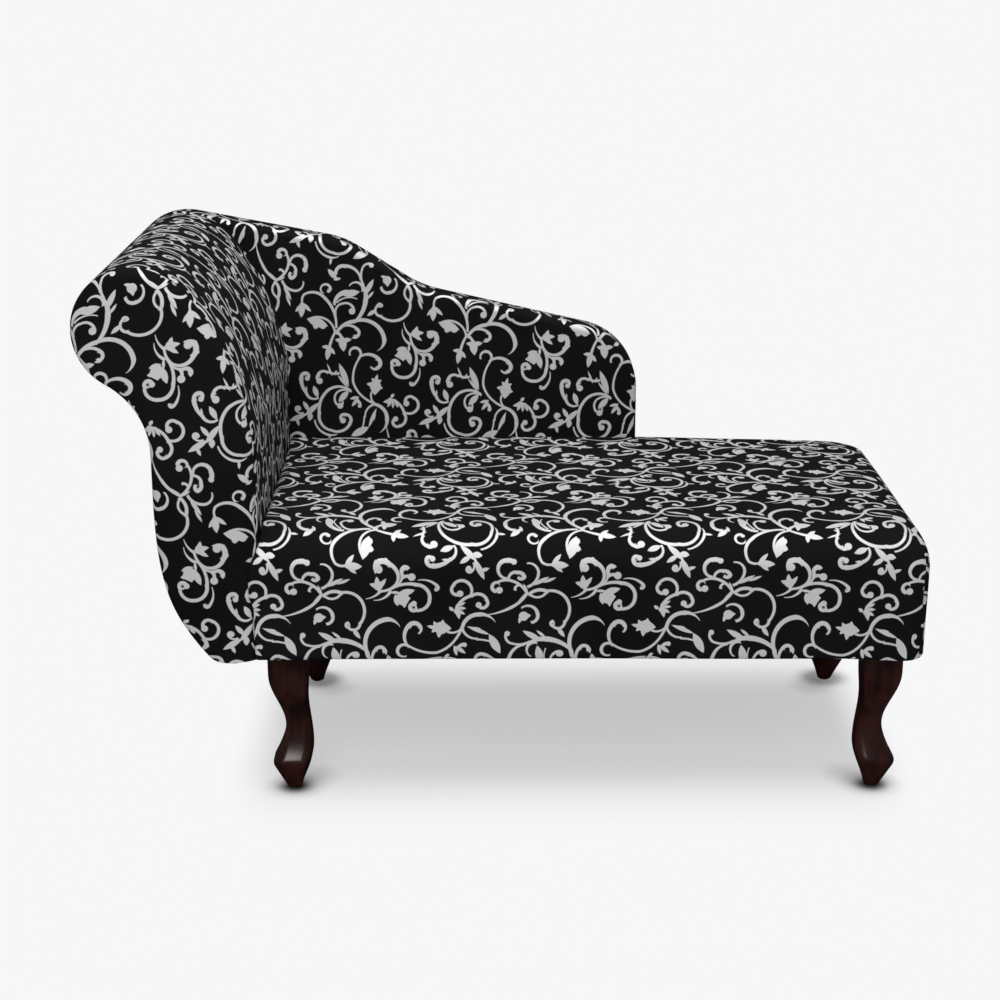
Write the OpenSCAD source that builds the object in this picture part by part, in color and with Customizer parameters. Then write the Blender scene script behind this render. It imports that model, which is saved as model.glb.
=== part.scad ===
// Small upholstered meridienne: a one-ended daybed with a scrolled headrest on the left,
// a sloping back along half of the rear edge, and four short cabriole legs.
// It is three upholstered timber modules, seat, headrest and back, bolted to each other.
// X runs along the seat, the sitter faces -Y, and Z = 0 is the floor.

/* [Body] */
// Depth of the body from front to rear
body_depth = 500; // [440:5:560]
// Height of the body's underside above the floor
leg_height = 200; // [160:5:240]
// Length of the seat from the headrest to the foot end
seat_len = 840; // [720:5:960]
// Height of the seat's edge above the underside
seat_height = 167; // [155:1:190]

/* [Seat shape] */
// Rise of the seat's crown above its edge
seat_crown = 5; // [1:1:12]
// Radius of the long top edges
seat_edge_r = 40; // [25:1:48]
// Radius of the edges round the underside
seat_base_r = 10; // [6:1:11]
// Radius of the upright corners at the foot end
seat_corner_r = 26; // [20:1:36]
// How far the foot end swells out over its base
end_swell = 9; // [2:1:14]

/* [Headrest shape] */
// Height of the headrest's top above the underside
head_rise = 500; // [440:5:560]
// Thickness of the headrest above the seat
head_t = 124; // [105:1:145]
// Radius of the roll along the headrest's top
roll_r = 77; // [66:1:88]
// Overhang of the roll's centre past the outer side
roll_out = 12; // [4:1:22]
// Radius of the hollow under the roll
throat_r = 102; // [80:1:120]
// Height of the straight stretch below the hollow
side_straight = 48; // [20:1:70]
// Width of the headrest's flat underside
heel_w = 53; // [48:1:70]
// Slope of the lowest stretch of the outer side, in degrees
heel_angle = 49; // [40:1:60]
// Radius between the outer side and the underside
heel_r = 16; // [8:1:24]
// Drop from the roll's centre to the upright inner side
inner_drop = 153; // [120:1:165]
// Radius of the seam edge round the front facing
facing_r = 10; // [6:1:14]

/* [Back shape] */
// Length of the back from the headrest to its free end
back_len = 503; // [420:1:600]
// Thickness of the back
back_t = 50; // [46:1:64]
// Radius of the edges round the back's two faces
back_edge_r = 10; // [7:1:11]
// Distance of the crest's shoulder from the headrest
shoulder_x = 82; // [60:1:110]
// Drop of the crest's shoulder below the roll's top
shoulder_drop = 40; // [30:1:55]
// Distance of the crest's waist from the headrest
waist_x = 194; // [170:1:230]
// Drop of the crest's waist below the roll's top
waist_drop = 110; // [90:1:120]
// Drop of the crest's free end below the roll's top
end_drop = 180; // [165:1:200]
// Radius of the crest at its shoulder
shoulder_r = 120; // [60:5:180]
// Radius of the crest at its waist
waist_r = 150; // [80:5:200]
// Radius of the crest at its free end
end_r = 95; // [60:1:110]

/* [Legs] */
// Width of the square block at the top of a leg
leg_block = 51; // [46:1:56]
// Inset of a leg's centre from the body's front and rear
leg_inset_y = 59; // [54:1:61]
// Distance of the left legs' centre from the headrest
leg_left_x = 28; // [26:1:34]
// Inset of the right legs' centre from the foot end
leg_right_x = 44; // [41:1:50]
// Height of the toe above the floor
toe_h = 46; // [40:1:56]
// Height of the narrow neck above the floor
neck_h = 89; // [80:1:104]
// Reach of the toe outwards from the leg's centre
toe_out = 21; // [16:1:26]
// Reach of the neck outwards from the leg's centre
neck_out = 6; // [4:1:9]
// Reach of the heel inwards from the leg's centre
heel_in = 29; // [25:1:31]
// Width of the sole
sole_w = 18; // [16:1:21]
// Radius along the leg's upright edges
leg_edge_r = 6; // [3:1:7]

/* [Timber] */
// Thickness of the seat's rails and the back's frame
rail_t = 22; // [18:1:24]
// Height of the seat's rails
rail_h = 95; // [88:1:100]
// Thickness of the headrest's scroll boards
board_t = 18; // [15:1:21]
// Width of the back's sawn members
member_w = 48; // [40:1:56]
// Thickness of the hardboard panels
hardboard_t = 3; // [2:0.5:4]
// Side of a corner block
block_w = 64; // [63:1:68]
// Length of a stub tenon
tenon_len = 10; // [6:1:14]

/* [Upholstery] */
// Thickness of the cover with its lining
cover_t = 2; // [1.5:0.5:2.5]
// Thickness of the headrest's foam
head_foam_t = 15; // [12:1:17]
// Width of a webbing strap
strap_w = 50; // [40:1:60]
// Thickness of a webbing strap
strap_t = 1.5; // [1:0.5:2]
// Number of straps from front to rear
cross_straps = 7; // [5:1:8]
// Number of straps along the seat
long_straps = 3; // [2:1:4]
// Width of the hem turned under the rails
hem_w = 21; // [16:1:24]

/* [Fixings] */
// Diameter of the bolts
bolt_d = 8; // [6:1:9]
// Diameter of the wood screws
screw_d = 4.6; // [4:0.2:5]
// Diameter of a foot glide
glide_d = 14; // [12:1:14]
// Thickness of a foot glide
glide_t = 3; // [2:0.5:4]

/* [Hidden] */
// Clearance between soft layers and round fixings in their bores
fit = 0.3;

// Body: X = 0 is the joint between headrest and seat until the last shift to the centre
half_depth = body_depth / 2;
x_shift = (head_t + roll_out + roll_r - seat_len) / 2;
seat_top = leg_height + seat_height;
head_top = leg_height + head_rise;
timber_z = leg_height + cover_t + fit;
rail_top = timber_z + rail_h;
padding_t = 8;
timber_y = half_depth - cover_t - 2 * fit - padding_t;
end_padding = 11;
timber_end = seat_len - end_swell - cover_t - end_padding;
back_front = half_depth - back_t;
strap_lift = strap_t + fit;
deck = rail_top + strap_lift + cover_t;
foam_z = rail_top + 2 * strap_lift;

// Headrest outline, seen from the front
side_x = -head_t;
roll_c = [side_x - roll_out, head_top - roll_r];
throat_dx = throat_r - roll_out;
throat_c = [side_x - throat_r, roll_c[1] - sqrt(pow(roll_r + throat_r, 2) - pow(throat_dx, 2))];
throat_a = atan2(roll_c[1] - throat_c[1], throat_dx);
belly_z = throat_c[1] - side_straight;
inner_z = roll_c[1] - inner_drop;
inner_leave = 45;
board_inset = cover_t + head_foam_t + hardboard_t + 3 * fit;
head_front_y = -timber_y;
head_rear_y = back_front - fit;
facing_depth = facing_r + 2;
foot_gap = cover_t + fit;

// Crest of the back, from the free end to the roll
end_c = [back_len, head_top - end_drop];
waist_c = [waist_x, head_top - waist_drop];
shoulder_c = [shoulder_x, head_top - shoulder_drop];
crest_v = shoulder_c - roll_c;
crest_a = atan2(crest_v[1], crest_v[0]) + acos(roll_r / norm(crest_v));
crest_start = roll_c + roll_r * [cos(crest_a), sin(crest_a)];
frame_inset = 8;
post_x = -40;
end_post_x = back_len - frame_inset - member_w;
middle_x = (post_x + end_post_x) / 2;
back_low = deck + cover_t + fit;
frame_rear = timber_y;
frame_front = timber_y - rail_t;

// Legs and their fixings
bolt_r = bolt_d / 2;
thread_slack = 0.1;
bolt_in = 15;
legs_y = half_depth - leg_inset_y;
legs_x = [leg_left_x, seat_len - leg_right_x];
sole_out = neck_out;
sole_mid = sole_out - sole_w / 2;
knee_h = leg_height - 35;
dust_t = 1.2;
leg_top = leg_height - fit;
block_h = 60;
block_top = timber_z + block_h;
bolt_bite = 45;
nut_flange_r = 2.1 * bolt_r;
nut_flange_t = 1.5;
nut_barrel_r = bolt_r + 1.2;
nut_barrel_h = 12;
screw_r = screw_d / 2;
pan_r = 1.8 * screw_r;
pan_h = 2.6;
screw_bite = 14;
block_screw_at = block_w - 9;
block_screw_seat = 34;
block_screw_z = [18, 42];
head_bolt_y = frame_front - block_w - 3 * bolt_d;
head_bolt_z = [timber_z + 38, timber_z + 72];
nut_h = 0.8 * bolt_d;
bolt_head_h = 0.6 * bolt_d;
plate_w = 25;
plate_t = 2.6;
plate_len = 110;
plate_x = [40, middle_x, end_post_x + member_w / 2];
plate_z = [-45, -25, 20, 40];
plate_screw_len = 18;
sunk_r = 1.8 * screw_r;

function lerp(a, b, t) = a + (b - a) * t;
function smooth(t) = t * t * (3 - 2 * t);
function polar(c, r, a) = c + r * [cos(a), sin(a)];
function arc(c, r, a0, a1, n) = [for (i = [0:n]) polar(c, r, lerp(a0, a1, i / n))];
function bezier(p, n) = [for (i = [0:n]) let (t = i / n, s = 1 - t)
    s * s * s * p[0] + 3 * s * s * t * p[1] + 3 * s * t * t * p[2] + t * t * t * p[3]];
function reverse(p) = [for (i = [len(p) - 1:-1:0]) p[i]];
function but_last(p) = [for (i = [0:len(p) - 2]) p[i]];

// Rounds the corner p between its neighbours with radius r, and moves the path d to its left
function fillet(before, p, after, r, d, n = 8) =
    let (u = (p - before) / norm(p - before), w = (after - p) / norm(after - p),
         bend = atan2(cross(u, w), u * w), side = sign(bend),
         start = p - r * tan(abs(bend) / 2) * u, left = [-u[1], u[0]],
         c = start + side * r * left, a0 = atan2(-side * left[1], -side * left[0]))
    arc(c, r - side * d, a0, a0 + bend, n);

// Stretches of the headrest's outline, moved d inwards and low up from the underside
function head_inner(d, low) = concat([[-d, low]],
    let (leave = polar(roll_c, roll_r - d, inner_leave))
    but_last(bezier([[-d, inner_z], [-d, inner_z + 80],
                     leave + 60 * [sin(inner_leave), -cos(inner_leave)], leave], 8)));
function head_roll(d, from) = arc(roll_c, roll_r - d, from, throat_a + 180, 24);
function head_outer(d, low) =
    let (fall = [-cos(heel_angle), sin(heel_angle)], r = max(heel_r - d, 1),
         foot = [(d - low * cos(heel_angle)) / sin(heel_angle) - heel_w, leg_height + low],
         tangent = r * tan(heel_angle / 2), drop = belly_z - leg_height,
         start = foot + tangent * fall)
    concat(arc(throat_c, throat_r + d, throat_a, 0, 6),
        but_last(bezier([[side_x + d, belly_z], [side_x + d, belly_z - 0.55 * drop],
                         start + 0.32 * drop * fall, start], 8)),
        arc(foot + [tangent, r], r, 270 - heel_angle, 270, 3));
function head_outline(d, low) = concat(head_inner(d, leg_height + low),
    but_last(head_roll(d, inner_leave)), head_outer(d, low));
function back_outline(d, low) = concat([[back_len - d, deck + fit + low]],
    fillet([back_len, deck], end_c, waist_c, end_r, d),
    fillet(end_c, waist_c, shoulder_c, waist_r, d),
    fillet(waist_c, shoulder_c, crest_start, shoulder_r, d),
    but_last(head_roll(d, crest_a)), head_outer(d, low),
    [[-d - fit, leg_height + low], [-d - fit, deck + fit + low]]);

// Triangles that fill the outline p by cutting ears off the corners k that are left
function turn(a, b, c) = cross(b - a, c - b);
function covers(a, b, c, q) = q != a && q != b && q != c &&
    turn(a, b, q) >= 0 && turn(b, c, q) >= 0 && turn(c, a, q) >= 0;
function is_ear(p, k, i) =
    let (n = len(k), a = p[k[(i + n - 1) % n]], b = p[k[i]], c = p[k[(i + 1) % n]])
    turn(a, b, c) > 0 && len([for (j = k) if (covers(a, b, c, p[j])) j]) == 0;
function first_ear(p, k, i = 0) = i == len(k) - 1 || is_ear(p, k, i) ? i : first_ear(p, k, i + 1);
function ears(p, k) = len(k) < 3 ? [] : let (n = len(k), i = first_ear(p, k))
    concat([[k[(i + n - 1) % n], k[i], k[(i + 1) % n]]],
           ears(p, [for (j = [0:n - 1]) if (j != i) k[j]]));
function fan(n) = [for (i = [1:n - 2]) [0, i, i + 1]];

// Skin through rings of equally many points, the first ring counter-clockwise from outside
module loft(rings, cap = []) {
    n = len(rings[0]);
    last = (len(rings) - 1) * n;
    ends = len(cap) > 0 ? cap : fan(n);
    polyhedron(
        points = [for (ring = rings, p = ring) p],
        faces = concat(
            [for (t = ends) [t[2], t[1], t[0]]],
            [for (t = ends) [last + t[0], last + t[1], last + t[2]]],
            [for (k = [0:len(rings) - 2], i = [0:n - 1]) let (a = k * n + i, b = k * n + (i + 1) % n)
                [a, b, a + n]],
            [for (k = [0:len(rings) - 2], i = [0:n - 1]) let (a = k * n + i, b = k * n + (i + 1) % n)
                [b, b + n, a + n]]));
}

function at_y(outline, y) = [for (p = outline) [p[0], y, p[1]]];
function at_z(outline, z) = [for (p = outline) [p[0], p[1], z]];

// Sewn cover in the form of a tray: a face at face_y, an edge of radius r and a rim at rim_y
function edge_ring(outline, face_y, dir, r, d, a) =
    at_y(outline(d + (r - d) * (1 - sin(a)), d), face_y + dir * (d + (r - d) * (1 - cos(a))));
module tray(outline, face_y, rim_y, r, steps = 4) {
    dir = sign(rim_y - face_y);
    rings = concat(
        [for (i = [0:steps]) edge_ring(outline, face_y, dir, r, cover_t, 90 * i / steps)],
        [at_y(outline(cover_t, cover_t), rim_y), at_y(outline(0, 0), rim_y)],
        [for (i = [steps:-1:0]) edge_ring(outline, face_y, dir, r, 0, 90 * i / steps)]);
    turned = dir > 0 ? [for (ring = rings) reverse(ring)] : rings;
    face = [for (p = turned[0]) [-dir * p[0], p[2]]];
    loft(turned, ears(face, [for (i = [0:len(face) - 1]) i]));
}

// Outline of x and z drawn up to a slab from y0 to y1
module slab(outline, y0, y1) {
    translate([0, y1, 0]) rotate([90, 0, 0]) linear_extrude(y1 - y0) polygon(outline);
}
module box(low, high) { translate(low) cube(high - low); }
module placed() { translate([x_shift, 0, 0]) children(); }
module along_x(at, len, r) { translate(at) rotate([0, 90, 0]) cylinder(h = len, r = r, $fn = 32); }
module along_y(at, len, r) { translate(at) rotate([-90, 0, 0]) cylinder(h = len, r = r, $fn = 32); }
module upright(at, len, r) { translate(at) cylinder(h = len, r = r, $fn = 32); }
// One copy for each leg: x is its centre, sx and sy point outwards
module each_leg() {
    for (i = [0, 1], sy = [-1, 1]) {
        translate([legs_x[i], sy * legs_y, 0]) scale_to(i == 0 ? -1 : 1, sy) children();
    }
}
module scale_to(sx, sy) { mirror([sx < 0 ? 1 : 0, 0, 0]) mirror([0, sy < 0 ? 1 : 0, 0]) children(); }

// Seat timber: four rails and a cross rail on stub tenons, with glued and screwed corner blocks
module tenon_mortise(x, y, sy, slack) {
    box([x - rail_t / 4 - slack, min(y, y + sy * tenon_len) - slack, timber_z + rail_h * 0.2 - slack],
        [x + rail_t / 4 + slack, max(y, y + sy * tenon_len) + slack, timber_z + rail_h * 0.8 + slack]);
}
function cross_rail_x() = [rail_t / 2, timber_end / 2, timber_end - rail_t / 2];
module cross_member(x) {
    union() {
        box([x - rail_t / 2, -frame_front, timber_z], [x + rail_t / 2, frame_front, rail_top]);
        tenon_mortise(x, -frame_front, -1, 0);
        tenon_mortise(x, frame_front, 1, 0);
    }
}
corner_cut = 9;
module long_rail(sy) {
    color("burlywood") difference() {
        translate([0, 0, timber_z]) scale_to(1, sy) linear_extrude(rail_h) polygon([
            [0, frame_front], [timber_end, frame_front], [timber_end, frame_rear - corner_cut],
            [timber_end - corner_cut, frame_rear], [0, frame_rear]]);
        for (x = cross_rail_x()) tenon_mortise(x, sy * frame_front, sy, thread_slack);
        block_screw_bores();
    }
}
module seat_front_rail() { placed() long_rail(-1); }
module seat_rear_rail() {
    placed() color("burlywood") difference() {
        long_rail(1);
        plate_screw_bores();
    }
}
module seat_left_rail() {
    placed() color("burlywood") difference() {
        cross_member(cross_rail_x()[0]);
        block_screw_bores();
        head_bolt_bores();
    }
}
module seat_right_rail() {
    placed() color("burlywood") difference() {
        cross_member(cross_rail_x()[2]);
        block_screw_bores();
    }
}
module seat_cross_rail() { placed() color("burlywood") cross_member(cross_rail_x()[1]); }

// Inner corner of the frame for each corner block, and the two screws through each block
function block_x(i) = i == 0 ? rail_t : timber_end - rail_t;
module corner_block(i, sy) {
    sx = i == 0 ? 1 : -1;
    chamfer = 0.35 * block_w;
    placed() color("tan") difference() {
        translate([block_x(i), sy * frame_front, timber_z]) scale_to(sx, -sy)
            linear_extrude(block_h) polygon([[0, 0], [block_w, 0], [block_w, block_w - chamfer],
                [block_w - chamfer, block_w], [0, block_w]]);
        block_screw_bores();
        translate([0, 0, timber_z - 1]) leg_bolt_places(block_h + 2, bolt_r + fit);
        translate([0, 0, block_top - nut_barrel_h]) leg_bolt_places(nut_barrel_h + 1, nut_barrel_r + fit);
    }
}
module corner_block_front_left() { corner_block(0, -1); }
module corner_block_front_right() { corner_block(1, -1); }
module corner_block_rear_left() { corner_block(0, 1); }
module corner_block_rear_right() { corner_block(1, 1); }
module leg_bolt_places(h, r) {
    each_leg() translate([-bolt_in, -bolt_in, 0]) cylinder(h = h, r = r, $fn = 32);
}
module block_screws(r, head_r, head_h) {
    len = screw_bite + block_screw_seat;
    for (i = [0, 1], sy = [-1, 1]) {
        translate([block_x(i), sy * frame_front, timber_z]) scale_to(i == 0 ? 1 : -1, -sy) {
            along_y([block_screw_at, -screw_bite, block_screw_z[0]], len, r);
            along_y([block_screw_at, block_screw_seat, block_screw_z[0]], head_h, head_r);
            along_x([-screw_bite, block_screw_at, block_screw_z[1]], len, r);
            along_x([block_screw_seat, block_screw_at, block_screw_z[1]], head_h, head_r);
        }
    }
}
module block_screw_bores() { block_screws(screw_r + thread_slack, pan_r + fit, block_w); }
module corner_block_screws() { placed() color("silver") block_screws(screw_r, pan_r, pan_h); }

// Threaded inserts in the corner blocks and the bolts that stand out of the legs
module leg_insert_nuts() {
    placed() color("silver") difference() {
        union() {
            translate([0, 0, block_top - nut_barrel_h + 1]) leg_bolt_places(nut_barrel_h - 1, nut_barrel_r);
            translate([0, 0, block_top]) leg_bolt_places(nut_flange_t, nut_flange_r);
        }
        translate([0, 0, block_top - nut_barrel_h])
            leg_bolt_places(nut_barrel_h + nut_flange_t + 1, bolt_r + thread_slack);
    }
}
module leg_hanger_bolts() {
    placed() color("silver")
        translate([0, 0, leg_height - bolt_bite]) leg_bolt_places(bolt_bite + block_top - leg_height, bolt_r);
}

// Cabriole leg, sawn to the same S-shaped outline on both outer faces
block_half = leg_block / 2;
waist_in = block_half - 2;
waist_h = lerp(neck_h, knee_h, 0.5);
sole_in = sole_w - sole_out;
heel_h = toe_h + 14;
function leg_out(z) =
    z > knee_h ? block_half :
    z > neck_h ? lerp(neck_out, block_half, smooth((z - neck_h) / (knee_h - neck_h))) :
    z > toe_h ? neck_out + (toe_out - neck_out) * pow((neck_h - z) / (neck_h - toe_h), 2) :
    lerp(sole_out, toe_out, (z - glide_t) / (toe_h - glide_t));
function leg_in(z) =
    z > knee_h ? block_half :
    z > waist_h ? lerp(waist_in, block_half, smooth((z - waist_h) / (knee_h - waist_h))) :
    z > heel_h ? lerp(heel_in, waist_in, smooth((z - heel_h) / (waist_h - heel_h))) :
    lerp(sole_in, heel_in, smooth(0.15 + 0.85 * (z - glide_t) / (heel_h - glide_t)));
function leg_levels() = concat(
    [for (i = [0:5]) lerp(glide_t, toe_h, i / 5)],
    [for (i = [1:5]) lerp(toe_h, neck_h, i / 5)],
    [for (i = [1:7]) lerp(neck_h, knee_h, i / 7)], [leg_top]);
function leg_section(z) =
    let (a = -leg_in(z), b = leg_out(z), r = min(leg_edge_r, (b - a) / 2 - 1))
    concat(arc([b - r, b - r], r, 90, 0, 4), arc([b - r, a + r], r, 0, -90, 3),
           arc([a + r, a + r], r, -90, -180, 3), arc([a + r, b - r], r, -180, -270, 3));
module leg(i, sy) {
    placed() color([0.2, 0.08, 0.06]) translate([legs_x[i], sy * legs_y, 0]) scale_to(i == 0 ? -1 : 1, sy)
        difference() {
            loft([for (z = leg_levels()) at_z(leg_section(z), z)]);
            upright([-bolt_in, -bolt_in, leg_height - bolt_bite - 1], bolt_bite + 4, bolt_r + thread_slack);
            upright([sole_mid, sole_mid, glide_t - 1], nail_len + 2, nail_r + thread_slack);
        }
}
module leg_front_left() { leg(0, -1); }
module leg_front_right() { leg(1, -1); }
module leg_rear_left() { leg(0, 1); }
module leg_rear_right() { leg(1, 1); }
nail_r = 1.2;
nail_len = 12;
module leg_glides() {
    placed() color("dimgray") each_leg() translate([sole_mid, sole_mid, 0]) {
        cylinder(h = glide_t, r = glide_d / 2, $fn = 48);
        cylinder(h = glide_t + nail_len, r = nail_r, $fn = 24);
    }
}

// Webbing: straps from rail to rail, then straps along the seat over them
module cross_webbing() {
    pitch = (timber_end - rail_t) / (cross_straps + 1);
    placed() color("saddlebrown") for (i = [1:cross_straps]) {
        x = rail_t / 2 + i * pitch;
        box([x - strap_w / 2, -frame_front - rail_t / 2, rail_top],
            [x + strap_w / 2, frame_front + rail_t / 2, rail_top + strap_t]);
    }
}
module long_webbing() {
    span = 2 * (back_front - 20);
    placed() color("saddlebrown") for (i = [1:long_straps]) {
        y = -span / 2 + i * span / (long_straps + 1);
        box([rail_t / 2, y - strap_w / 2, rail_top + strap_lift],
            [timber_end - rail_t / 2, y + strap_w / 2, rail_top + strap_lift + strap_t]);
    }
}

// Seat upholstery: a crowned block with waterfall edges, d inside the cover's outer face
function seat_ring(left, right, side, z, r) =
    let (x0 = fit + left, x1 = seat_len - right, y1 = half_depth - side, q = min(r, y1 - 2), p = 2)
    at_z(concat(arc([x1 - q, -y1 + q], q, 0, -90, 6), arc([x0 + p, -y1 + p], p, -90, -180, 2),
                arc([x0 + p, y1 - p], p, 180, 90, 2), arc([x1 - q, y1 - q], q, 90, 0, 6)), z);
function swell(z, d) = let (t = max(0, (leg_height + 0.5 * seat_height - z) / (0.5 * seat_height)))
    d + end_swell * t * t;
module seat_form(d) {
    z0 = leg_height + d;
    z1 = seat_top - d;
    r0 = seat_base_r - d;
    r1 = seat_edge_r - d;
    r = seat_corner_r - d;
    middle = half_depth - d - 14;
    loft(concat(
        [for (i = [0:3]) let (a = 90 * i / 3, e = r0 * (1 - sin(a)), z = z0 + r0 * (1 - cos(a)))
            seat_ring(d, swell(z, d) + e, d + e, z, r)],
        [for (z = [lerp(z0 + r0, z1 - r1, 0.35), lerp(z0 + r0, z1 - r1, 0.7)])
            seat_ring(d, swell(z, d), d, z, r)],
        [for (i = [0:5]) let (a = 90 * i / 5, e = r1 * (1 - cos(a)), z = z1 - r1 + r1 * sin(a))
            seat_ring(d + 0.2 * e, d + e, d + e, z, r)],
        [for (i = [1:3]) let (t = i / 3, e = lerp(r1, middle, t), z = z1 + seat_crown * t * (2 - t))
            seat_ring(d + 0.2 * e, d + e, d + e, z, r)]));
}
// Space that the back takes from the rear of the seat
module back_notch(d) {
    box([-1, back_front - fit - d, deck - d], [back_len + fit + d, half_depth + 1, head_top]);
}
module seat_cover() {
    placed() color([0.12, 0.12, 0.13]) difference() {
        seat_form(0);
        back_notch(0);
        difference() {
            seat_form(cover_t);
            back_notch(cover_t);
        }
        box([-1, hem_w - half_depth, leg_height - 1],
            [seat_len - end_swell - hem_w, half_depth - hem_w, leg_height + cover_t + 1]);
        box([-1, -half_depth + cover_t, leg_height + cover_t],
            [cover_t + 2 * fit, half_depth - cover_t, deck - cover_t]);
        plates(fit);
    }
}
module seat_foam() {
    placed() color("khaki") difference() {
        seat_form(cover_t + fit);
        back_notch(cover_t + fit);
        box([-1, -half_depth, leg_height - 1], [seat_len, half_depth, foam_z]);
    }
}
module seat_border_padding() {
    placed() color("ivory") difference() {
        seat_form(cover_t + fit);
        box([-1, -half_depth, rail_top - fit], [seat_len, half_depth, head_top]);
        box([-1, -timber_y - fit, leg_height], [timber_end + fit, timber_y + fit, rail_top + 1]);
        box([-1, 0, leg_height], [back_len, timber_y + plate_t + 2 * fit, rail_top + 1]);
    }
}
module dust_cover() {
    placed() color("black") difference() {
        box([rail_t / 2, hem_w + fit - half_depth, timber_z - dust_t],
            [seat_len - end_swell - hem_w - fit, half_depth - hem_w - fit, timber_z]);
        translate([0, 0, timber_z - 2 * dust_t]) leg_bolt_places(3 * dust_t, bolt_r + fit);
    }
}

// Headrest timber: two scroll-sawn boards joined by rails and a pole in the roll
module scroll_board(y0) {
    color("burlywood") difference() {
        union() {
            slab(head_outline(board_inset, board_inset), y0, y0 + board_t);
            box([10 - heel_w, y0, timber_z], [-foot_gap, y0 + board_t, deck - fit]);
        }
        along_y([roll_c[0], y0 - 1, roll_c[1]], board_t + 2, pole_end_r + thread_slack);
        back_screw_bores();
    }
}
pole_r = 20;
pole_end_r = 14;
inner_rail_z = [deck + 70, deck + 130];
side_rail_z = [belly_z, throat_c[1]];
boards_y = [head_front_y, head_rear_y - board_t - fit];
module between_boards(low, high) {
    box([low[0], boards_y[0] + board_t, low[1]], [high[0], boards_y[1], high[1]]);
}
module headrest_front_board() { placed() scroll_board(boards_y[0]); }
module headrest_rear_board() { placed() scroll_board(boards_y[1]); }
module headrest_bottom_rail() {
    placed() color("burlywood")
        between_boards([-rail_t - board_t, timber_z], [-rail_t, timber_z + rail_t]);
}
module headrest_seat_rail() {
    placed() color("burlywood") difference() {
        between_boards([-rail_t, timber_z], [0, deck - fit]);
        head_bolt_bores();
    }
}
module headrest_inner_rail() {
    placed() color("burlywood")
        between_boards([-board_inset - rail_t, inner_rail_z[0]], [-board_inset, inner_rail_z[1]]);
}
module headrest_side_rail() {
    placed() color("burlywood")
        between_boards([side_x + board_inset, side_rail_z[0]], [side_x + board_inset + rail_t, side_rail_z[1]]);
}
module headrest_roll_pole() {
    y0 = boards_y[0];
    placed() color("burlywood") union() {
        along_y([roll_c[0], y0 + board_t, roll_c[1]], boards_y[1] - y0 - board_t, pole_r);
        along_y([roll_c[0], y0, roll_c[1]], boards_y[1] - y0 + board_t, pole_end_r);
    }
}
module head_bolt_bores() {
    for (y = [-head_bolt_y, head_bolt_y], z = head_bolt_z)
        along_x([-rail_t - 1, y, z], 2 * rail_t + 2, bolt_r + fit);
}
module headrest_bolts() {
    placed() color("silver") for (y = [-head_bolt_y, head_bolt_y], z = head_bolt_z) {
        along_x([-rail_t - nut_h - 4, y, z], 2 * rail_t + nut_h + 4 + bolt_head_h, bolt_r);
        translate([rail_t, y, z]) rotate([0, 90, 0]) cylinder(h = bolt_head_h, r = bolt_d, $fn = 6);
    }
}
module headrest_bolt_nuts() {
    placed() color("silver") for (y = [-head_bolt_y, head_bolt_y], z = head_bolt_z) difference() {
        translate([-rail_t - nut_h, y, z]) rotate([0, 90, 0]) cylinder(h = nut_h, r = bolt_d, $fn = 6);
        along_x([-rail_t - nut_h - 1, y, z], nut_h + 2, bolt_r + thread_slack);
    }
}

// Headrest skins: bands that follow the outline from one depth to another
module inside_band(d0, d1, y0, y1) {
    low = deck + fit;
    slab(concat(head_inner(d0, low), head_roll(d0, inner_leave),
                reverse(head_roll(d1, inner_leave)), reverse(head_inner(d1, low))), y0, y1);
}
module outside_band(d0, d1, y0, y1, low0, low1, foot) {
    slab(concat(head_outer(d0, low0), [[foot, leg_height + low0], [foot, leg_height + low1]],
                reverse(head_outer(d1, low1))), y0, y1);
}
foam_in = cover_t + fit;
foam_out = foam_in + head_foam_t;
panel_in = foam_out + fit;
panel_out = panel_in + hardboard_t;
skin_y = facing_depth - half_depth;
module headrest_inside_board() {
    placed() color("peru") inside_band(panel_in, panel_out, head_front_y, head_rear_y - fit);
}
module headrest_inside_foam() {
    placed() color("khaki") inside_band(foam_in, foam_out, head_front_y, head_rear_y - fit);
}
module headrest_inside_cover() {
    placed() color([0.12, 0.12, 0.13]) inside_band(0, cover_t, skin_y, head_rear_y);
}
module headrest_outside_board() {
    placed() color("peru") slab(concat(head_outer(panel_in, panel_in),
        reverse(head_outer(panel_out, panel_out))), head_front_y, head_rear_y - fit);
}
module headrest_outside_foam() {
    placed() color("khaki") slab(concat(head_outer(foam_in, foam_in),
        reverse(head_outer(foam_out, foam_out))), head_front_y, head_rear_y - fit);
}
module headrest_outside_cover() {
    placed() color([0.12, 0.12, 0.13])
        outside_band(0, cover_t, skin_y, head_rear_y, 0, cover_t, -rail_t);
}
module headrest_front_facing() {
    placed() color([0.12, 0.12, 0.13])
        tray(function (d, low) head_outline(d, low), -half_depth, skin_y - fit, facing_r);
}
module headrest_front_padding() {
    placed() color("ivory")
        slab(head_outline(facing_r, foam_in), -half_depth + cover_t + fit, head_front_y - fit);
}

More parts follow.
